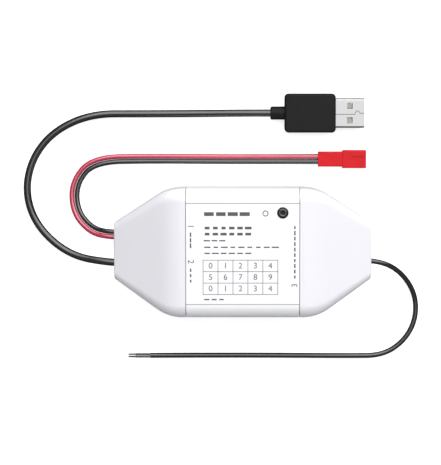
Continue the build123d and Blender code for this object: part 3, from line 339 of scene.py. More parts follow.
def finish(name, colour, *, rough, grain, depth, tone=0.12, stretch=1.0, tone_size=9 * MM, **sockets):
    """A Principled material whose colour, roughness and bump vary over the surface.

    rough holds the least and the most roughness, grain and depth are the bump's size and height, tone is how much
    darker the colour gets, tone_size the reach of that drift, and sockets are more inputs of the shader.
    """
    material = bpy.data.materials.new(name)
    material.use_nodes = True
    tree = material.node_tree
    shader = tree.nodes["Principled BSDF"]
    for label, value in sockets.items():
        shader.inputs[label.replace("_", " ")].default_value = value
    material.diffuse_color = (*colour, 1)
    tint = tree.nodes.new("ShaderNodeGroup")
    tint.node_tree = cast_tone()
    tint.inputs["Colour"].default_value = (*colour, 1)
    tint.inputs["Second"].default_value = (*[channel * (1 - tone) for channel in colour], 1)
    tint.inputs["Size"].default_value = tone_size
    tree.links.new(tint.outputs["Colour"], shader.inputs["Base Color"])
    texture = tree.nodes.new("ShaderNodeGroup")
    texture.node_tree = surface_grain()
    texture.inputs["Size"].default_value = grain
    texture.inputs["Stretch"].default_value = stretch
    shine = tree.nodes.new("ShaderNodeMapRange")
    shine.inputs["To Min"].default_value, shine.inputs["To Max"].default_value = rough
    tree.links.new(texture.outputs["Shine"], shine.inputs["Value"])
    tree.links.new(shine.outputs["Result"], shader.inputs["Roughness"])
    bump = tree.nodes.new("ShaderNodeBump")
    bump.inputs["Strength"].default_value = 1.0
    bump.inputs["Distance"].default_value = depth
    tree.links.new(texture.outputs["Height"], bump.inputs["Height"])
    tree.links.new(bump.outputs["Normal"], shader.inputs["Normal"])
    return material


def paint_edge_shade(material, painted_shade_colour, darkest_at=0.75, clear_at=0.995):
    """Paints shade into a material where the surface turns away from level, for the dark reflections along a folded
    sheet's round edges.

    darkest_at and clear_at are the upright share of the surface normal where the shade is full and where it ends.
    """
    tree = material.node_tree
    shader = tree.nodes["Principled BSDF"]
    face = shader.inputs["Base Color"].links[0].from_socket
    place = tree.nodes.new("ShaderNodeTexCoord")
    axes = tree.nodes.new("ShaderNodeSeparateXYZ")
    tree.links.new(place.outputs["Normal"], axes.inputs["Vector"])
    level = tree.nodes.new("ShaderNodeMapRange")
    level.inputs["From Min"].default_value, level.inputs["From Max"].default_value = darkest_at, clear_at
    tree.links.new(math_node(tree, "ABSOLUTE", axes.outputs["Z"], 0.0), level.inputs["Value"])
    shaded = mixed_colour(tree, level.outputs["Result"], (*painted_shade_colour, 1), face)
    tree.links.new(shaded, shader.inputs["Base Color"])


def paint(mesh, material):
    """Gives a mesh one material."""
    mesh.materials.clear()
    mesh.materials.append(material)


def dress(looks):
    """Makes each named slot's material, gives it to the slot's CAD nodes, and returns the materials."""
    made = {slot: finish(slot, **look) for slot, look in looks.items()}
    for name, slot in node_slots.items():
        if slot in made:
            paint(frame["nodes"][name].data, made[slot])
    return made


# Objects


def scene_object(name, data):
    """A new object in the scene."""
    made = bpy.data.objects.new(name, data)
    bpy.context.scene.collection.objects.link(made)
    return made


def final_mesh(scrap):
    """The evaluated mesh of a helper object, which is removed."""
    mesh = bpy.data.meshes.new_from_object(scrap.evaluated_get(bpy.context.evaluated_depsgraph_get()))
    bpy.data.objects.remove(scrap)
    return mesh


def piece(name, mesh, material, body="housing"):
    """A finished mesh piece, in place, that rides on a body."""
    made = scene_object(name, mesh)
    paint(mesh, material)
    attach(made, body)
    return made


# Geometry Nodes trees


def nodes_tree(name, inputs):
    """A new Geometry Nodes tree with named inputs, and its two end nodes."""
    return group_with(name, "GeometryNodeTree", inputs, [("Geometry", "NodeSocketGeometry")])


def end_tree(tree, given, made, geometry):
    """Ends a tree in Realize Instances and Set Material."""
    real = tree.nodes.new("GeometryNodeRealizeInstances")
    paint = tree.nodes.new("GeometryNodeSetMaterial")
    tree.links.new(geometry, real.inputs["Geometry"])
    tree.links.new(real.outputs["Geometry"], paint.inputs["Geometry"])
    tree.links.new(given.outputs["Material"], paint.inputs["Material"])
    tree.links.new(paint.outputs["Geometry"], made.inputs["Geometry"])
    return tree


def row_of_boxes(tree, start, step, count, size):
    """Boxes of one size on a row of points, as instances."""
    line = tree.nodes.new("GeometryNodeMeshLine")
    box = tree.nodes.new("GeometryNodeMeshCube")
    place = tree.nodes.new("GeometryNodeInstanceOnPoints")
    tree.links.new(start, line.inputs["Start Location"])
    tree.links.new(step, line.inputs["Offset"])
    tree.links.new(count, line.inputs["Count"])
    tree.links.new(size, box.inputs["Size"])
    tree.links.new(line.outputs["Mesh"], place.inputs["Points"])
    tree.links.new(box.outputs["Mesh"], place.inputs["Instance"])
    return place


def bars_tree():
    """A line of short printed bars whose lengths vary."""
    tree, given, made = nodes_tree("printed_bars", [
        ("Start", "NodeSocketVector"), ("Step", "NodeSocketVector"), ("Count", "NodeSocketInt"),
        ("Bar size", "NodeSocketVector"), ("Shortest share", "NodeSocketFloat"), ("Seed", "NodeSocketInt"),
        ("Material", "NodeSocketMaterial")])
    bars = row_of_boxes(tree, *[given.outputs[label] for label in ("Start", "Step", "Count", "Bar size")])
    lengths = tree.nodes.new("FunctionNodeRandomValue")
    tree.links.new(given.outputs["Shortest share"], lengths.inputs["Min"])
    tree.links.new(given.outputs["Seed"], lengths.inputs["Seed"])
    scale = tree.nodes.new("ShaderNodeCombineXYZ")
    scale.inputs["Y"].default_value = scale.inputs["Z"].default_value = 1.0
    tree.links.new(lengths.outputs["Value"], scale.inputs["X"])
    tree.links.new(scale.outputs["Vector"], bars.inputs["Scale"])
    return end_tree(tree, given, made, bars.outputs["Instances"])


def rules_tree():
    """A set of equal ruled lines."""
    tree, given, made = nodes_tree("ruled_lines", [
        ("Start", "NodeSocketVector"), ("Step", "NodeSocketVector"), ("Count", "NodeSocketInt"),
        ("Line size", "NodeSocketVector"), ("Material", "NodeSocketMaterial")])
    lines = row_of_boxes(tree, *[given.outputs[label] for label in ("Start", "Step", "Count", "Line size")])
    return end_tree(tree, given, made, lines.outputs["Instances"])


def winding_tree():
    """A wire wound round an upright spool."""
    tree, given, made = nodes_tree("coil_winding", [
        ("Centre", "NodeSocketVector"), ("Radius", "NodeSocketFloat"), ("Height", "NodeSocketFloat"),
        ("Turns", "NodeSocketFloat"), ("Wire radius", "NodeSocketFloat"), ("Material", "NodeSocketMaterial")])
    helix = tree.nodes.new("GeometryNodeCurveSpiral")
    helix.inputs["Resolution"].default_value = 24
    section = tree.nodes.new("GeometryNodeCurvePrimitiveCircle")
    section.inputs["Resolution"].default_value = 8
    tube = tree.nodes.new("GeometryNodeCurveToMesh")
    place = tree.nodes.new("GeometryNodeTransform")
    tree.links.new(given.outputs["Turns"], helix.inputs["Rotations"])
    tree.links.new(given.outputs["Radius"], helix.inputs["Start Radius"])
    tree.links.new(given.outputs["Radius"], helix.inputs["End Radius"])
    tree.links.new(given.outputs["Height"], helix.inputs["Height"])
    tree.links.new(given.outputs["Wire radius"], section.inputs["Radius"])
    tree.links.new(helix.outputs["Curve"], tube.inputs["Curve"])
    tree.links.new(section.outputs["Curve"], tube.inputs["Profile Curve"])
    tube.inputs["Fill Caps"].default_value = True
    tree.links.new(tube.outputs["Mesh"], place.inputs["Geometry"])
    tree.links.new(given.outputs["Centre"], place.inputs["Translation"])
    return end_tree(tree, given, made, place.outputs["Geometry"])


def grown_mesh(tree, values):
    """Runs a Geometry Nodes tree once and returns its result as a plain mesh."""
    carrier = scene_object("carrier", bpy.data.meshes.new("carrier"))
    modifier = carrier.modifiers.new("tree", "NODES")
    modifier.node_group = tree
    for item in tree.interface.items_tree:
        if item.in_out == "INPUT":
            modifier[item.identifier] = values[item.name]
    return final_mesh(carrier)


def merged(name, meshes):
    """Several meshes as one."""
    parts = [scene_object(f"{name}_{count}", mesh) for count, mesh in enumerate(meshes)]
    with bpy.context.temp_override(
            active_object=parts[0], selected_objects=parts, selected_editable_objects=parts):
        bpy.ops.object.join()
    mesh = parts[0].data
    bpy.data.objects.remove(parts[0])
    mesh.name = name
    return mesh


# Cords and meshes


def free_cord(name, route, diameter, material, replaced):
    """A round cord as one NURBS curve on its route, in place of its CAD tube."""
    curve = bpy.data.curves.new(name, "CURVE")
    curve.dimensions = "3D"
    curve.resolution_u = 16
    curve.bevel_depth = diameter / 2
    curve.bevel_resolution = 7
    curve.use_fill_caps = True
    line = curve.splines.new("NURBS")
    line.points.add(len(route) - 1)
    for point, place in zip(line.points, route):
        point.co = (*place, 1)
    line.order_u = 3
    line.use_endpoint_u = True
    curve.materials.append(material)
    cord = scene_object(name, curve)
    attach(cord, "housing")
    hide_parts(replaced)
    return cord


def number_mesh(text, height, x, y, z, turn, thickness):
    """A plain number, lying flat with its middle at (x, y, z), turned about Z."""
    words = bpy.data.curves.new("number", "FONT")
    words.body = text
    words.size = height
    words.align_x = words.align_y = "CENTER"
    words.extrude = thickness / 2
    mesh = final_mesh(scene_object("number", words))
    mesh.transform(Matrix.Translation((x, y, z)) @ Matrix.Rotation(turn, 4, "Z"))
    return mesh


def filled(mesh, form):
    """A mesh with the content of a bmesh, which is freed."""
    form.to_mesh(mesh)
    form.free()
    return mesh


def closed_mesh(name, corners, faces):
    """A closed mesh whose faces look outwards."""
    mesh = bpy.data.meshes.new(name)
    mesh.from_pydata(corners, [], faces)
    form = bmesh.new()
    form.from_mesh(mesh)
    bmesh.ops.recalc_face_normals(form, faces=form.faces)
    return filled(mesh, form)


def ring_mesh(radius, width, x, y, z, thickness, sides=48):
    """A flat printed ring, from z upwards."""
    corners, faces = [], []
    for count in range(sides):
        turn = 2 * math.pi * count / sides
        for reach, level in ((radius - width, 0), (radius, 0), (radius, thickness), (radius - width, thickness)):
            corners.append((x + reach * math.cos(turn), y + reach * math.sin(turn), z + level))
        here, there = 4 * count, 4 * ((count + 1) % sides)
        for side in range(4):
            after = (side + 1) % 4
            faces.append((here + side, there + side, there + after, here + after))
    return closed_mesh("ring", corners, faces)


def round_ring(radius, width, height, x, y, z, sides=64, around=24):
    """A raised ring of oval section, its middle at z."""
    corners, faces = [], []
    for count in range(sides):
        turn = 2 * math.pi * count / sides
        for step in range(around):
            tilt = 2 * math.pi * step / around
            reach = radius + width / 2 * math.cos(tilt)
            corners.append((x + reach * math.cos(turn), y + reach * math.sin(turn), z + height / 2 * math.sin(tilt)))
            after, there = (step + 1) % around, (count + 1) % sides
            faces.append((around * count + step, around * there + step, around * there + after,
                          around * count + after))
    mesh = closed_mesh("round_ring", corners, faces)
    mesh.shade_smooth()
    return mesh


def ribbon_mesh(points, width, z, thickness):
    """A thin strip with mitred bends that follows points on a flat face."""
    places = [Vector(point) for point in points]
    runs = [(after - before).normalized() for before, after in zip(places, places[1:])]
    corners = []
    for count, place in enumerate(places):
        before, after = runs[max(count - 1, 0)], runs[min(count, len(runs) - 1)]
        aside = Vector((-before.y - after.y, before.x + after.x)).normalized()
        reach = width / 2 / aside.dot(Vector((-before.y, before.x)))
        for side, level in ((-1, z), (1, z), (1, z + thickness), (-1, z + thickness)):
            corners.append((*(place + side * reach * aside), level))
    faces = [(0, 1, 2, 3), tuple(4 * len(places) - step for step in (1, 2, 3, 4))]
    for base in range(0, 4 * len(places) - 4, 4):
        faces += [(base + side, base + side + 4, base + (side + 1) % 4 + 4, base + (side + 1) % 4)
                  for side in range(4)]
    return closed_mesh("ribbon", corners, faces)


def shell_mesh(low, high, wall, corner, windows, steps=10):
    """A folded sheet tube along X with round edges and a window at each given place."""
    middle, half = (low + high) / 2, (high - low) / 2
    form = bmesh.new()
    rings = []
    for place in (low.x, high.x):
        for sink in (0, wall):
            ring = []
            for across, up, first in ((1, 1, 0), (-1, 1, 90), (-1, -1, 180), (1, -1, 270)):
                for step in range(steps + 1):
                    turn = math.radians(first + 90 * step / steps)
                    ring.append(form.verts.new((
                        place, middle.y + across * (half.y - corner) + (corner - sink) * math.cos(turn),
                        middle.z + up * (half.z - corner) + (corner - sink) * math.sin(turn))))
            rings.append(ring)
    for first, second in ((0, 2), (3, 1), (2, 3), (1, 0)):
        for count in range(len(rings[0])):
            after = (count + 1) % len(rings[0])
            form.faces.new((rings[first][count], rings[first][after], rings[second][after], rings[second][count]))
    bmesh.ops.recalc_face_normals(form, faces=form.faces)
    tube = scene_object("tube", filled(bpy.data.meshes.new("tube"), form))
    cutter_form = bmesh.new()
    for place, size in windows:
        box = bmesh.ops.create_cube(cutter_form, size=1)["verts"]
        bmesh.ops.scale(cutter_form, vec=(*size, 4 * half.z), verts=box)
        bmesh.ops.translate(cutter_form, vec=(*place, middle.z), verts=box)
    cutter = scene_object("cutter", filled(bpy.data.meshes.new("cutter"), cutter_form))
    cut = tube.modifiers.new("windows", "BOOLEAN")
    cut.object = cutter
    cut.solver = "EXACT"
    mesh = final_mesh(tube)
    bpy.data.objects.remove(cutter)
    return mesh


def in_order(form):
    """Sorts a bmesh by place, since a bevel leaves its parts in no fixed order."""
    # A slanted direction along which no two parts lie level
    lean = Vector((1, 0.618, 0.414))
    form.verts.sort(key=lambda vert: vert.co.dot(lean))
    form.edges.sort(key=lambda edge: (edge.verts[0].co + edge.verts[1].co).dot(lean))
    form.faces.sort(key=lambda face: face.calc_center_median().dot(lean))


def leaf_mesh(middle, window, gap, level, drop):
    """A round-cornered leaf that slopes down from a window's back edge."""
    thickness, corner, rim_round, sink = 0.25 * MM, 0.3 * MM, 0.06 * MM, 0.04 * MM
    length, width = window[0] - gap, window[1] - 2 * gap
    form = bmesh.new()
    bmesh.ops.create_cube(form, size=1)
    bmesh.ops.scale(form, vec=(length, width, thickness), verts=form.verts)
    upright = [edge for edge in form.edges if abs(edge.verts[0].co.z - edge.verts[1].co.z) > thickness / 2]
    bmesh.ops.bevel(form, geom=upright, offset=corner, segments=4, affect="EDGES")
    rim = [edge for edge in form.edges if all(vert.co.z > 0 for vert in edge.verts)]
    bmesh.ops.bevel(form, geom=rim, offset=rim_round, segments=2, affect="EDGES")
    for vert in form.verts:
        vert.co.z -= drop * (vert.co.x / length + 0.5)
    bmesh.ops.translate(form, vec=(middle[0] - gap / 2, middle[1], level - thickness / 2 - sink),
                        verts=form.verts)
    in_order(form)
    bmesh.ops.recalc_face_normals(form, faces=form.faces)
    return filled(bpy.data.meshes.new("leaf"), form)


class CONTROLLER_OT_cords(bpy.types.Operator):
    """Lay the power cord, the sensor wires and the signal cord"""

    bl_idname = "controller.cords"
    bl_label = "Lay the cords"

    def glossy(self, colour, **sockets):
        """The looks of a cord's smooth jacket."""
        return dict(colour=colour, rough=(0.14, 0.2), grain=0.3 * MM, depth=0.002 * MM, Specular_IOR_Level=1.0,
                    **sockets)

    def execute(self, context):
        look = context.scene.controller_cords
        made = dress({
            "cord_black": self.glossy(look.jacket_colour),
            "wire_red": self.glossy(look.red_colour, IOR=1.6),
            "wire_black": self.glossy(look.jacket_colour),
        })
        jacket = made["cord_black"]
        power = free_cord("power_cord_free", power_route, look.power_diameter, jacket, "power_cord")
        red_wire = free_cord("red_wire_free", red_route, look.wire_diameter, made["wire_red"], "red_wire")
        black_wire = free_cord("black_wire_free", black_route, look.wire_diameter, made["wire_black"], "black_wire")
        signal = free_cord("signal_cord_free", signal_route, look.signal_diameter, jacket, "signal_cord")
        return {"FINISHED"}


class CONTROLLER_OT_housing(bpy.types.Operator):
    """Finish the covers, the tray, the label panel, the button with its ring, and the screws"""

    bl_idname = "controller.housing"
    bl_label = "Finish the housing"

    # The ring in the button's dish. Its middle lies ring_sink under the button's top
    ring_radius = 1.28 * MM
    ring_width = 1.1 * MM
    ring_height = 0.7 * MM
    ring_sink = 0.33 * MM

    def execute(self, context):
        look = context.scene.controller_housing
        grain, depth = look.texture_size, look.texture_depth
        dress({
            # cover_white takes the end covers' darker white, painted shade for their sloping tops
            "cover_white": dict(colour=look.painted_shade_cover_colour, rough=(0.34, 0.46), grain=grain, depth=depth, tone=0.02),
            "base_white": dict(colour=look.tray_colour, rough=(0.46, 0.58), grain=grain, depth=2 * depth, tone=0.03),
            "label_white": dict(colour=look.label_colour, rough=(0.3, 0.38), grain=2 * grain, depth=depth / 3,
                                tone=0.01),
            "button_black": dict(colour=look.button_colour, rough=(0.22, 0.32), grain=grain, depth=depth / 2,
                                 Specular_IOR_Level=0.25),
            "screw_steel": dict(colour=(0.6, 0.6, 0.62), rough=(0.25, 0.5), grain=0.5 * MM, depth=0.004 * MM,
                                Metallic=1.0),
        })
        button_low, button_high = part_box("reset_button")
        middle = (button_low + button_high) / 2
        gloss = finish("button_gloss", look.button_colour, rough=(0.12, 0.18), grain=grain, depth=depth / 4,
                       Specular_IOR_Level=1.0)
        ring = round_ring(self.ring_radius, self.ring_width, self.ring_height, middle.x, middle.y,
                          button_high.z - self.ring_sink)
        piece("button_ring", ring, gloss, "button")
        paint(frame["nodes"]["centre_cover"].data,
              finish("centre_white", look.centre_colour, rough=(0.34, 0.46), grain=grain, depth=depth, tone=0.01))
        return {"FINISHED"}


class CONTROLLER_OT_label_print(bpy.types.Operator):
    """Print plain bars, a ruled chart and plain numbers on the label panel"""

    bl_idname = "controller.label_print"
    bl_label = "Print the label"

    # Places and heights, as shares of the label's half length and half width from its middle
    left_edge = -0.7
    chart_low = (-0.7, -0.8)
    chart_high = (0.62, -0.12)
    # Each line: its height up the label, its bars, their height and pitch
    lines = [
        (0.79, 4, 0.075, 0.21), (0.515, 6, 0.052, 0.145), (0.395, 6, 0.052, 0.145), (0.265, 3, 0.026, 0.135),
        (0.135, 9, 0.026, 0.15), (0.015, 6, 0.026, 0.145), (-0.9, 3, 0.026, 0.13),
    ]
    # Each outlet: its number, its place, its turn in degrees, and how many bars follow
    outlets = [("1", -0.92, 0.55, -90, 3), ("2", -0.92, -0.15, -90, 3), ("3", 0.92, -0.62, 90, 10)]
    # The longest bar's share of its pitch, the shortest's of the longest, a digit's of its cell
    bar_share = 0.86
    shortest_share = 0.55
    digit_share = 0.72
    # Width of the ring over the status light, in widths of a rule
    light_ring_rules = 1.6
    gap_shade_end_margin = 0.3 * MM

    def dull_print_and_shade(self, name, colour):
        """A dull flat colour, for printed ink and for painted shade lines."""
        return finish(name, colour, rough=(0.4, 0.5), grain=0.2 * MM, depth=0.001 * MM)

    def execute(self, context):
        look = context.scene.controller_print
        ink = self.dull_print_and_shade("print_grey", look.ink_colour)
        bars, rules = bars_tree(), rules_tree()
        label_low, label_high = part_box("label_panel")
        middle, half = (label_low + label_high) / 2, (label_high - label_low) / 2
        level = label_high.z
        # Every mark is half sunk into the label
        height = 2 * look.ink_thickness

        def spot(share_x, share_y):
            return Vector((middle.x + share_x * half.x, middle.y + share_y * half.y, level))

        def bar_row(start, pitch, count, width, seed):
            return grown_mesh(bars, {
                "Start": start, "Step": Vector((pitch, 0, 0)), "Count": count,
                "Bar size": Vector((self.bar_share * pitch, width, height)),
                "Shortest share": self.shortest_share, "Seed": seed, "Material": ink,
            })

        def rule_set(x, y, step, count, size_x, size_y):
            return grown_mesh(rules, {
                "Start": Vector((x, y, level)), "Step": Vector((*step, 0)), "Count": count,
                "Line size": Vector((size_x, size_y, height)), "Material": ink,
            })

        meshes = []
        for seed, (share_y, count, height_share, pitch_share) in enumerate(self.lines):
            pitch = pitch_share * half.x
            start = Vector((middle.x + self.left_edge * half.x + pitch / 2, middle.y + share_y * half.y, level))
            meshes.append(bar_row(start, pitch, count, height_share * half.y, seed))
        low, high = spot(*self.chart_low), spot(*self.chart_high)
        cell_x, cell_y = (high.x - low.x) / look.chart_columns, (high.y - low.y) / look.chart_rows
        meshes.append(rule_set(low.x, (low.y + high.y) / 2, (cell_x, 0), look.chart_columns + 1,
                               look.rule_width, high.y - low.y + look.rule_width))
        meshes.append(rule_set((low.x + high.x) / 2, low.y, (0, cell_y), look.chart_rows + 1,
                               high.x - low.x + look.rule_width, look.rule_width))
        for row in range(look.chart_rows):
            for column in range(look.chart_columns):
                digit = str((row * look.chart_columns + column) % 10)
                meshes.append(number_mesh(digit, self.digit_share * cell_y, low.x + (column + 0.5) * cell_x,
                                          high.y - (row + 0.5) * cell_y, level, 0, height))
        for seed, (number, share_x, share_y, turn, count) in enumerate(self.outlets):
            place, turned = spot(share_x, share_y), math.radians(turn)
            meshes.append(number_mesh(number, look.number_height, place.x, place.y, level, turned, height))
            beside = bar_row(Vector((look.number_height, 0, 0)), look.outlet_pitch, count, look.outlet_bar, seed)
            beside.transform(Matrix.Translation(place) @ Matrix.Rotation(turned, 4, "Z"))
            meshes.append(beside)
        light_low, light_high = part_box("light_guide")
        light = (light_low + light_high) / 2
        meshes.append(ring_mesh((light_high.x - light_low.x) / 2, self.light_ring_rules * look.rule_width,
                                light.x, light.y, level - height / 2, height))
        piece("label_print", merged("label_print", meshes), ink)
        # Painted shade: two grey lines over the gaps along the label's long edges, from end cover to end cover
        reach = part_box("right_end_cover")[0].x - self.gap_shade_end_margin
        gap_shades = rule_set(middle.x, label_low.y, (0, 2 * half.y), 2, 2 * reach, look.border_width)
        piece("label_gap_shades", gap_shades, self.dull_print_and_shade("gap_shade_grey", look.gap_shade_colour))
        return {"FINISHED"}


class CONTROLLER_OT_plug(bpy.types.Operator):
    """Finish the USB plug, with its folded shell and painted shade on its round edges, the shell's seam, and the
    dark leaves that close its windows as painted shade
    """

    bl_idname = "controller.plug"
    bl_label = "Finish the plug"

    shell_wall = 0.3 * MM
    shell_corner = 0.75 * MM
    # Colour of the painted shade along the shell's round edges
    painted_edge_shade = (0.055, 0.055, 0.055)
    seam_width = 0.24 * MM
    seam_rise = 0.01 * MM
    # Each window's middle: distance from the overmould, and from the shell's middle line
    window_along = 5.8 * MM
    window_aside = 2.95 * MM
    window_length = 2.2 * MM
    window_width = 2.5 * MM
    leaf_gap = 0.22 * MM
    leaf_drop = 0.22 * MM

    def execute(self, context):
        look = context.scene.controller_cords
        made = dress({
            "overmould_black": dict(colour=look.plug_colour, rough=(0.42, 0.56), grain=0.25 * MM, depth=0.006 * MM,
                                    Specular_IOR_Level=0.12),
            "shell_nickel": dict(colour=(0.44, 0.44, 0.44), rough=(0.24, 0.34), grain=0.12 * MM, depth=0.002 * MM,
                                 stretch=12.0, tone=0.06, Metallic=1.0),
            "insulator_white": dict(colour=(0.85, 0.85, 0.84), rough=(0.35, 0.45), grain=0.3 * MM, depth=0.002 * MM),
            "trace_gold": dict(colour=(0.8, 0.6, 0.25), rough=(0.2, 0.35), grain=0.2 * MM, depth=0.002 * MM,
                               Metallic=1.0),
        })
        shell_metal = made["shell_nickel"]
        # The shell's round edges get painted shade where they turn from level
        paint_edge_shade(shell_metal, self.painted_edge_shade)
        shell_low, shell_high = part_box("usb_shell")
        overmould_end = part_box("usb_overmould")[1].x
        centre_y = (shell_low.y + shell_high.y) / 2
        # The seam's path: distance back from the shell's open end, and from its middle line in millimetres
        seam_path = [(shell_high.x - overmould_end, -0.52), (4.0 * MM, -0.52), (3.4 * MM, 0.86), (2.5 * MM, 0.86),
                     (1.7 * MM, -0.07), (0.05 * MM, -0.07)]
        seam = [(shell_high.x - back, centre_y + aside * MM) for back, aside in seam_path]
        gap = finish("seam_dark", (0.1, 0.1, 0.1), rough=(0.5, 0.6), grain=0.2 * MM, depth=0.001 * MM)
        ribbon = ribbon_mesh(seam, self.seam_width, shell_high.z - self.seam_width, self.seam_width + self.seam_rise)
        piece("shell_seam", ribbon, gap)
        window_x = overmould_end + self.window_along
        windows = [((window_x, centre_y + side * self.window_aside), (self.window_length, self.window_width))
                   for side in (-1, 1)]
        shell = piece("folded_shell", shell_mesh(shell_low, shell_high, self.shell_wall, self.shell_corner, windows),
                      shell_metal)
        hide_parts("usb_shell")
        # A sprung leaf in each window, joined to the shell at the window's back edge. The leaves' dark nickel closes
        # the windows as painted shade for the hollow under them
        window_shade_metal = finish("window_shade_nickel", (0.26, 0.26, 0.26), rough=(0.3, 0.4), grain=0.12 * MM, depth=0.002 * MM,
                            stretch=12.0, Metallic=1.0)
        window_shades = [leaf_mesh(middle, window, self.leaf_gap, shell_high.z, self.leaf_drop)
                  for middle, window in windows]
        piece("painted_window_shades", merged("painted_window_shades", window_shades), window_shade_metal)
        return {"FINISHED"}


class CONTROLLER_OT_connector(bpy.types.Operator):
    """Finish the red connector and the stripped wire ends"""

    bl_idname = "controller.connector"
    bl_label = "Finish the connector"

    def execute(self, context):
        look = context.scene.controller_cords
        dress({
            "connector_red": dict(colour=look.connector_colour, rough=(0.34, 0.46), grain=0.4 * MM, depth=0.004 * MM,
                                  tone=0.2, tone_size=4 * MM, Specular_IOR_Level=0.15),
            "tinned_metal": dict(colour=(0.5, 0.49, 0.46), rough=(0.3, 0.45), grain=0.2 * MM, depth=0.003 * MM,
                                 Metallic=1.0),
        })
        paint(frame["nodes"]["signal_wire_tips"].data,
              finish("tip_dark", (0.05, 0.05, 0.05), rough=(0.4, 0.55), grain=0.1 * MM, depth=0.004 * MM,
                     Metallic=0.8))
        return {"FINISHED"}


class CONTROLLER_OT_electronics(bpy.types.Operator):
    """Finish the board and everything on it, and wind the relay's coil"""

    bl_idname = "controller.electronics"
    bl_label = "Finish the electronics"

    grain = 0.3 * MM
    wire_radius = 0.12 * MM
    # From one turn of the coil to the next, in wire radii
    turn_pitch = 2.05

    def execute(self, context):
        # Slot: colour, roughness range, bump depth in mm, metallic
        boards_and_parts = {
            "clamp_grey": ((0.27, 0.27, 0.29), (0.45, 0.6), 0.006, 0),
            "terminal_green": ((0.03, 0.2, 0.07), (0.35, 0.5), 0.004, 0),
            "board_green": ((0.01, 0.11, 0.035), (0.3, 0.42), 0.002, 0),
            "component_black": ((0.015, 0.015, 0.017), (0.45, 0.6), 0.004, 0),
            "light_chip_white": ((0.8, 0.8, 0.68), (0.2, 0.3), 0.001, 0),
            "radio_board_black": ((0.012, 0.014, 0.025), (0.3, 0.42), 0.002, 0),
            "shield_metal": ((0.62, 0.62, 0.63), (0.25, 0.4), 0.002, 1),
            "can_aluminium": ((0.75, 0.75, 0.76), (0.25, 0.4), 0.002, 1),
            "sleeve_black": ((0.012, 0.012, 0.02), (0.2, 0.3), 0.001, 0),
            "chip_tan": ((0.36, 0.25, 0.14), (0.4, 0.55), 0.003, 0),
            "relay_blue": ((0.012, 0.06, 0.34), (0.25, 0.35), 0.002, 0),
            "relay_iron": ((0.42, 0.42, 0.43), (0.35, 0.5), 0.004, 1),
            "bobbin_white": ((0.72, 0.71, 0.63), (0.4, 0.5), 0.003, 0),
            "coil_copper": ((0.5, 0.17, 0.06), (0.25, 0.4), 0.002, 1),
        }
        looks = {slot: dict(colour=colour, rough=rough, grain=self.grain, depth=depth * MM, Metallic=metallic)
                 for slot, (colour, rough, depth, metallic) in boards_and_parts.items()}
        looks["guide_clear"] = dict(colour=(0.95, 0.97, 0.98), rough=(0.05, 0.12), grain=self.grain,
                                    depth=0.001 * MM, tone=0.02, Transmission_Weight=1.0, IOR=1.49)
        made = dress(looks)
        coil_low, coil_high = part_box("relay_coil")
        height = coil_high.z - coil_low.z - 2 * self.wire_radius
        winding = grown_mesh(winding_tree(), {
            "Centre": Vector(((coil_low.x + coil_high.x) / 2, (coil_low.y + coil_high.y) / 2,
                              coil_low.z + self.wire_radius)),
            "Radius": (coil_high.x - coil_low.x) / 2, "Height": height,
            "Turns": math.floor(height / (self.turn_pitch * self.wire_radius)),
            "Wire radius": self.wire_radius, "Material": made["coil_copper"],
        })
        piece("coil_winding", winding, made["coil_copper"])
        return {"FINISHED"}


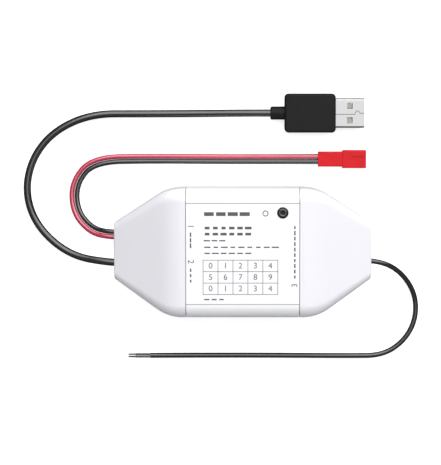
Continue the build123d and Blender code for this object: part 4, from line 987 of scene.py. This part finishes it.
class CONTROLLER_OT_studio(bpy.types.Operator):
    """Set the floor, the lights and the camera"""

    bl_idname = "controller.studio"
    bl_label = "Set the studio"

    # The photograph's size and the camera's straight-ahead point in it, in pixels
    photo_width = 441
    photo_height = 465
    principal_x = 242.7
    principal_y = 251.3
    floor_reach = 3.0
    floor_drop = 0.05 * MM
    # The share of the floor's colour that glossy faces reflect
    floor_in_gloss = 0.05
    key_place = (0.31, 0.92, 0.8)
    key_side = 1.8
    top_place = (0.12, 0.4, 1.25)
    top_side = 1.3
    sky_colour = (0.95, 0.96, 1)

    def camera(self, look):
        """A camera at the photograph's viewing angle."""
        data = bpy.data.cameras.new("camera")
        data.sensor_fit = "VERTICAL"
        data.sensor_height = 36
        data.lens = look.focal_pixels / self.photo_height * data.sensor_height
        data.shift_x = (self.photo_width / 2 - self.principal_x) / self.photo_height
        data.shift_y = (self.principal_y - self.photo_height / 2) / self.photo_height
        data.clip_start = 0.01
        camera = scene_object("camera", data)
        tilt, reach = look.camera_tilt, look.camera_distance
        camera.location = (0, reach * math.sin(tilt), look.aim_height + reach * math.cos(tilt))
        camera.rotation_euler = (-tilt, 0, 0)
        return camera

    def floor(self, look):
        """A lit, pale table."""
        reach, drop = self.floor_reach, self.floor_drop
        mesh = bpy.data.meshes.new("floor")
        mesh.from_pydata([(-reach, -reach, -drop), (reach, -reach, -drop), (reach, reach, -drop),
                          (-reach, reach, -drop)], [], [(0, 1, 2, 3)])
        paper = finish("floor_paper", look.floor_colour, rough=(0.8, 0.9), grain=2 * MM, depth=0.002 * MM, tone=0.01,
                       Specular_IOR_Level=0.0, Emission_Color=(1, 1, 1, 1))
        tree = paper.node_tree
        shader = tree.nodes["Principled BSDF"]
        seen = tree.nodes.new("ShaderNodeLightPath")
        glow = math_node(tree, "MULTIPLY", seen.outputs["Is Camera Ray"], look.floor_glow)
        tree.links.new(glow, shader.inputs["Emission Strength"])
        tint = shader.inputs["Base Color"].links[0].from_socket
        dark = (*[self.floor_in_gloss * channel for channel in look.floor_colour], 1)
        tree.links.new(mixed_colour(tree, seen.outputs["Is Glossy Ray"], tint, dark), shader.inputs["Base Color"])
        mesh.materials.append(paper)
        return scene_object("floor", mesh)

    def softbox(self, name, place, side, power):
        """A square light that faces the controller."""
        data = bpy.data.lights.new(name, "AREA")
        data.size = side
        data.energy = power
        light = scene_object(name, data)
        light.location = place
        light.rotation_euler = (-Vector(place)).to_track_quat("-Z", "Y").to_euler()

    def execute(self, context):
        look = context.scene.controller_studio
        scene = context.scene
        camera = self.camera(look)
        floor = self.floor(look)
        self.softbox("key_light", self.key_place, self.key_side, look.key_power)
        self.softbox("top_light", self.top_place, self.top_side, look.top_power)
        scene.camera = camera
        world = bpy.data.worlds.new("studio")
        world.use_nodes = True
        sky = world.node_tree.nodes["Background"]
        sky.inputs["Color"].default_value = (*self.sky_colour, 1)
        sky.inputs["Strength"].default_value = look.sky_strength
        scene.world = world
        scene.view_settings.view_transform = "Standard"
        return {"FINISHED"}


class CONTROLLER_PT_panel(bpy.types.Panel):
    """Lists the steps and their values"""

    bl_idname = "CONTROLLER_PT_panel"
    bl_label = "Garage door controller"
    bl_space_type = "VIEW_3D"
    bl_region_type = "UI"
    bl_category = "Controller"

    def draw(self, context):
        for operator in STEPS:
            self.layout.operator(operator.bl_idname)
        for name, look in LOOKS.items():
            box = self.layout.box()
            box.label(text=look.__doc__)
            for prop in look.__annotations__:
                box.prop(getattr(context.scene, name), prop)


STEPS = [
    CONTROLLER_OT_housing,
    CONTROLLER_OT_label_print,
    CONTROLLER_OT_plug,
    CONTROLLER_OT_connector,
    CONTROLLER_OT_electronics,
    CONTROLLER_OT_cords,
    CONTROLLER_OT_studio,
]


def register():
    for cls in (*LOOKS.values(), *STEPS, CONTROLLER_PT_panel):
        bpy.utils.register_class(cls)
    for name, look in LOOKS.items():
        setattr(bpy.types.Scene, name, PointerProperty(type=look))


def unregister():
    for name in LOOKS:
        delattr(bpy.types.Scene, name)
    for cls in (CONTROLLER_PT_panel, *reversed(STEPS), *reversed(LOOKS.values())):
        bpy.utils.unregister_class(cls)


def main():
    """Registers the add-on and runs its steps in order."""
    register()
    for operator in STEPS:
        group, name = operator.bl_idname.split(".")
        getattr(getattr(bpy.ops, group), name)()


if __name__ == "__main__":
    main()
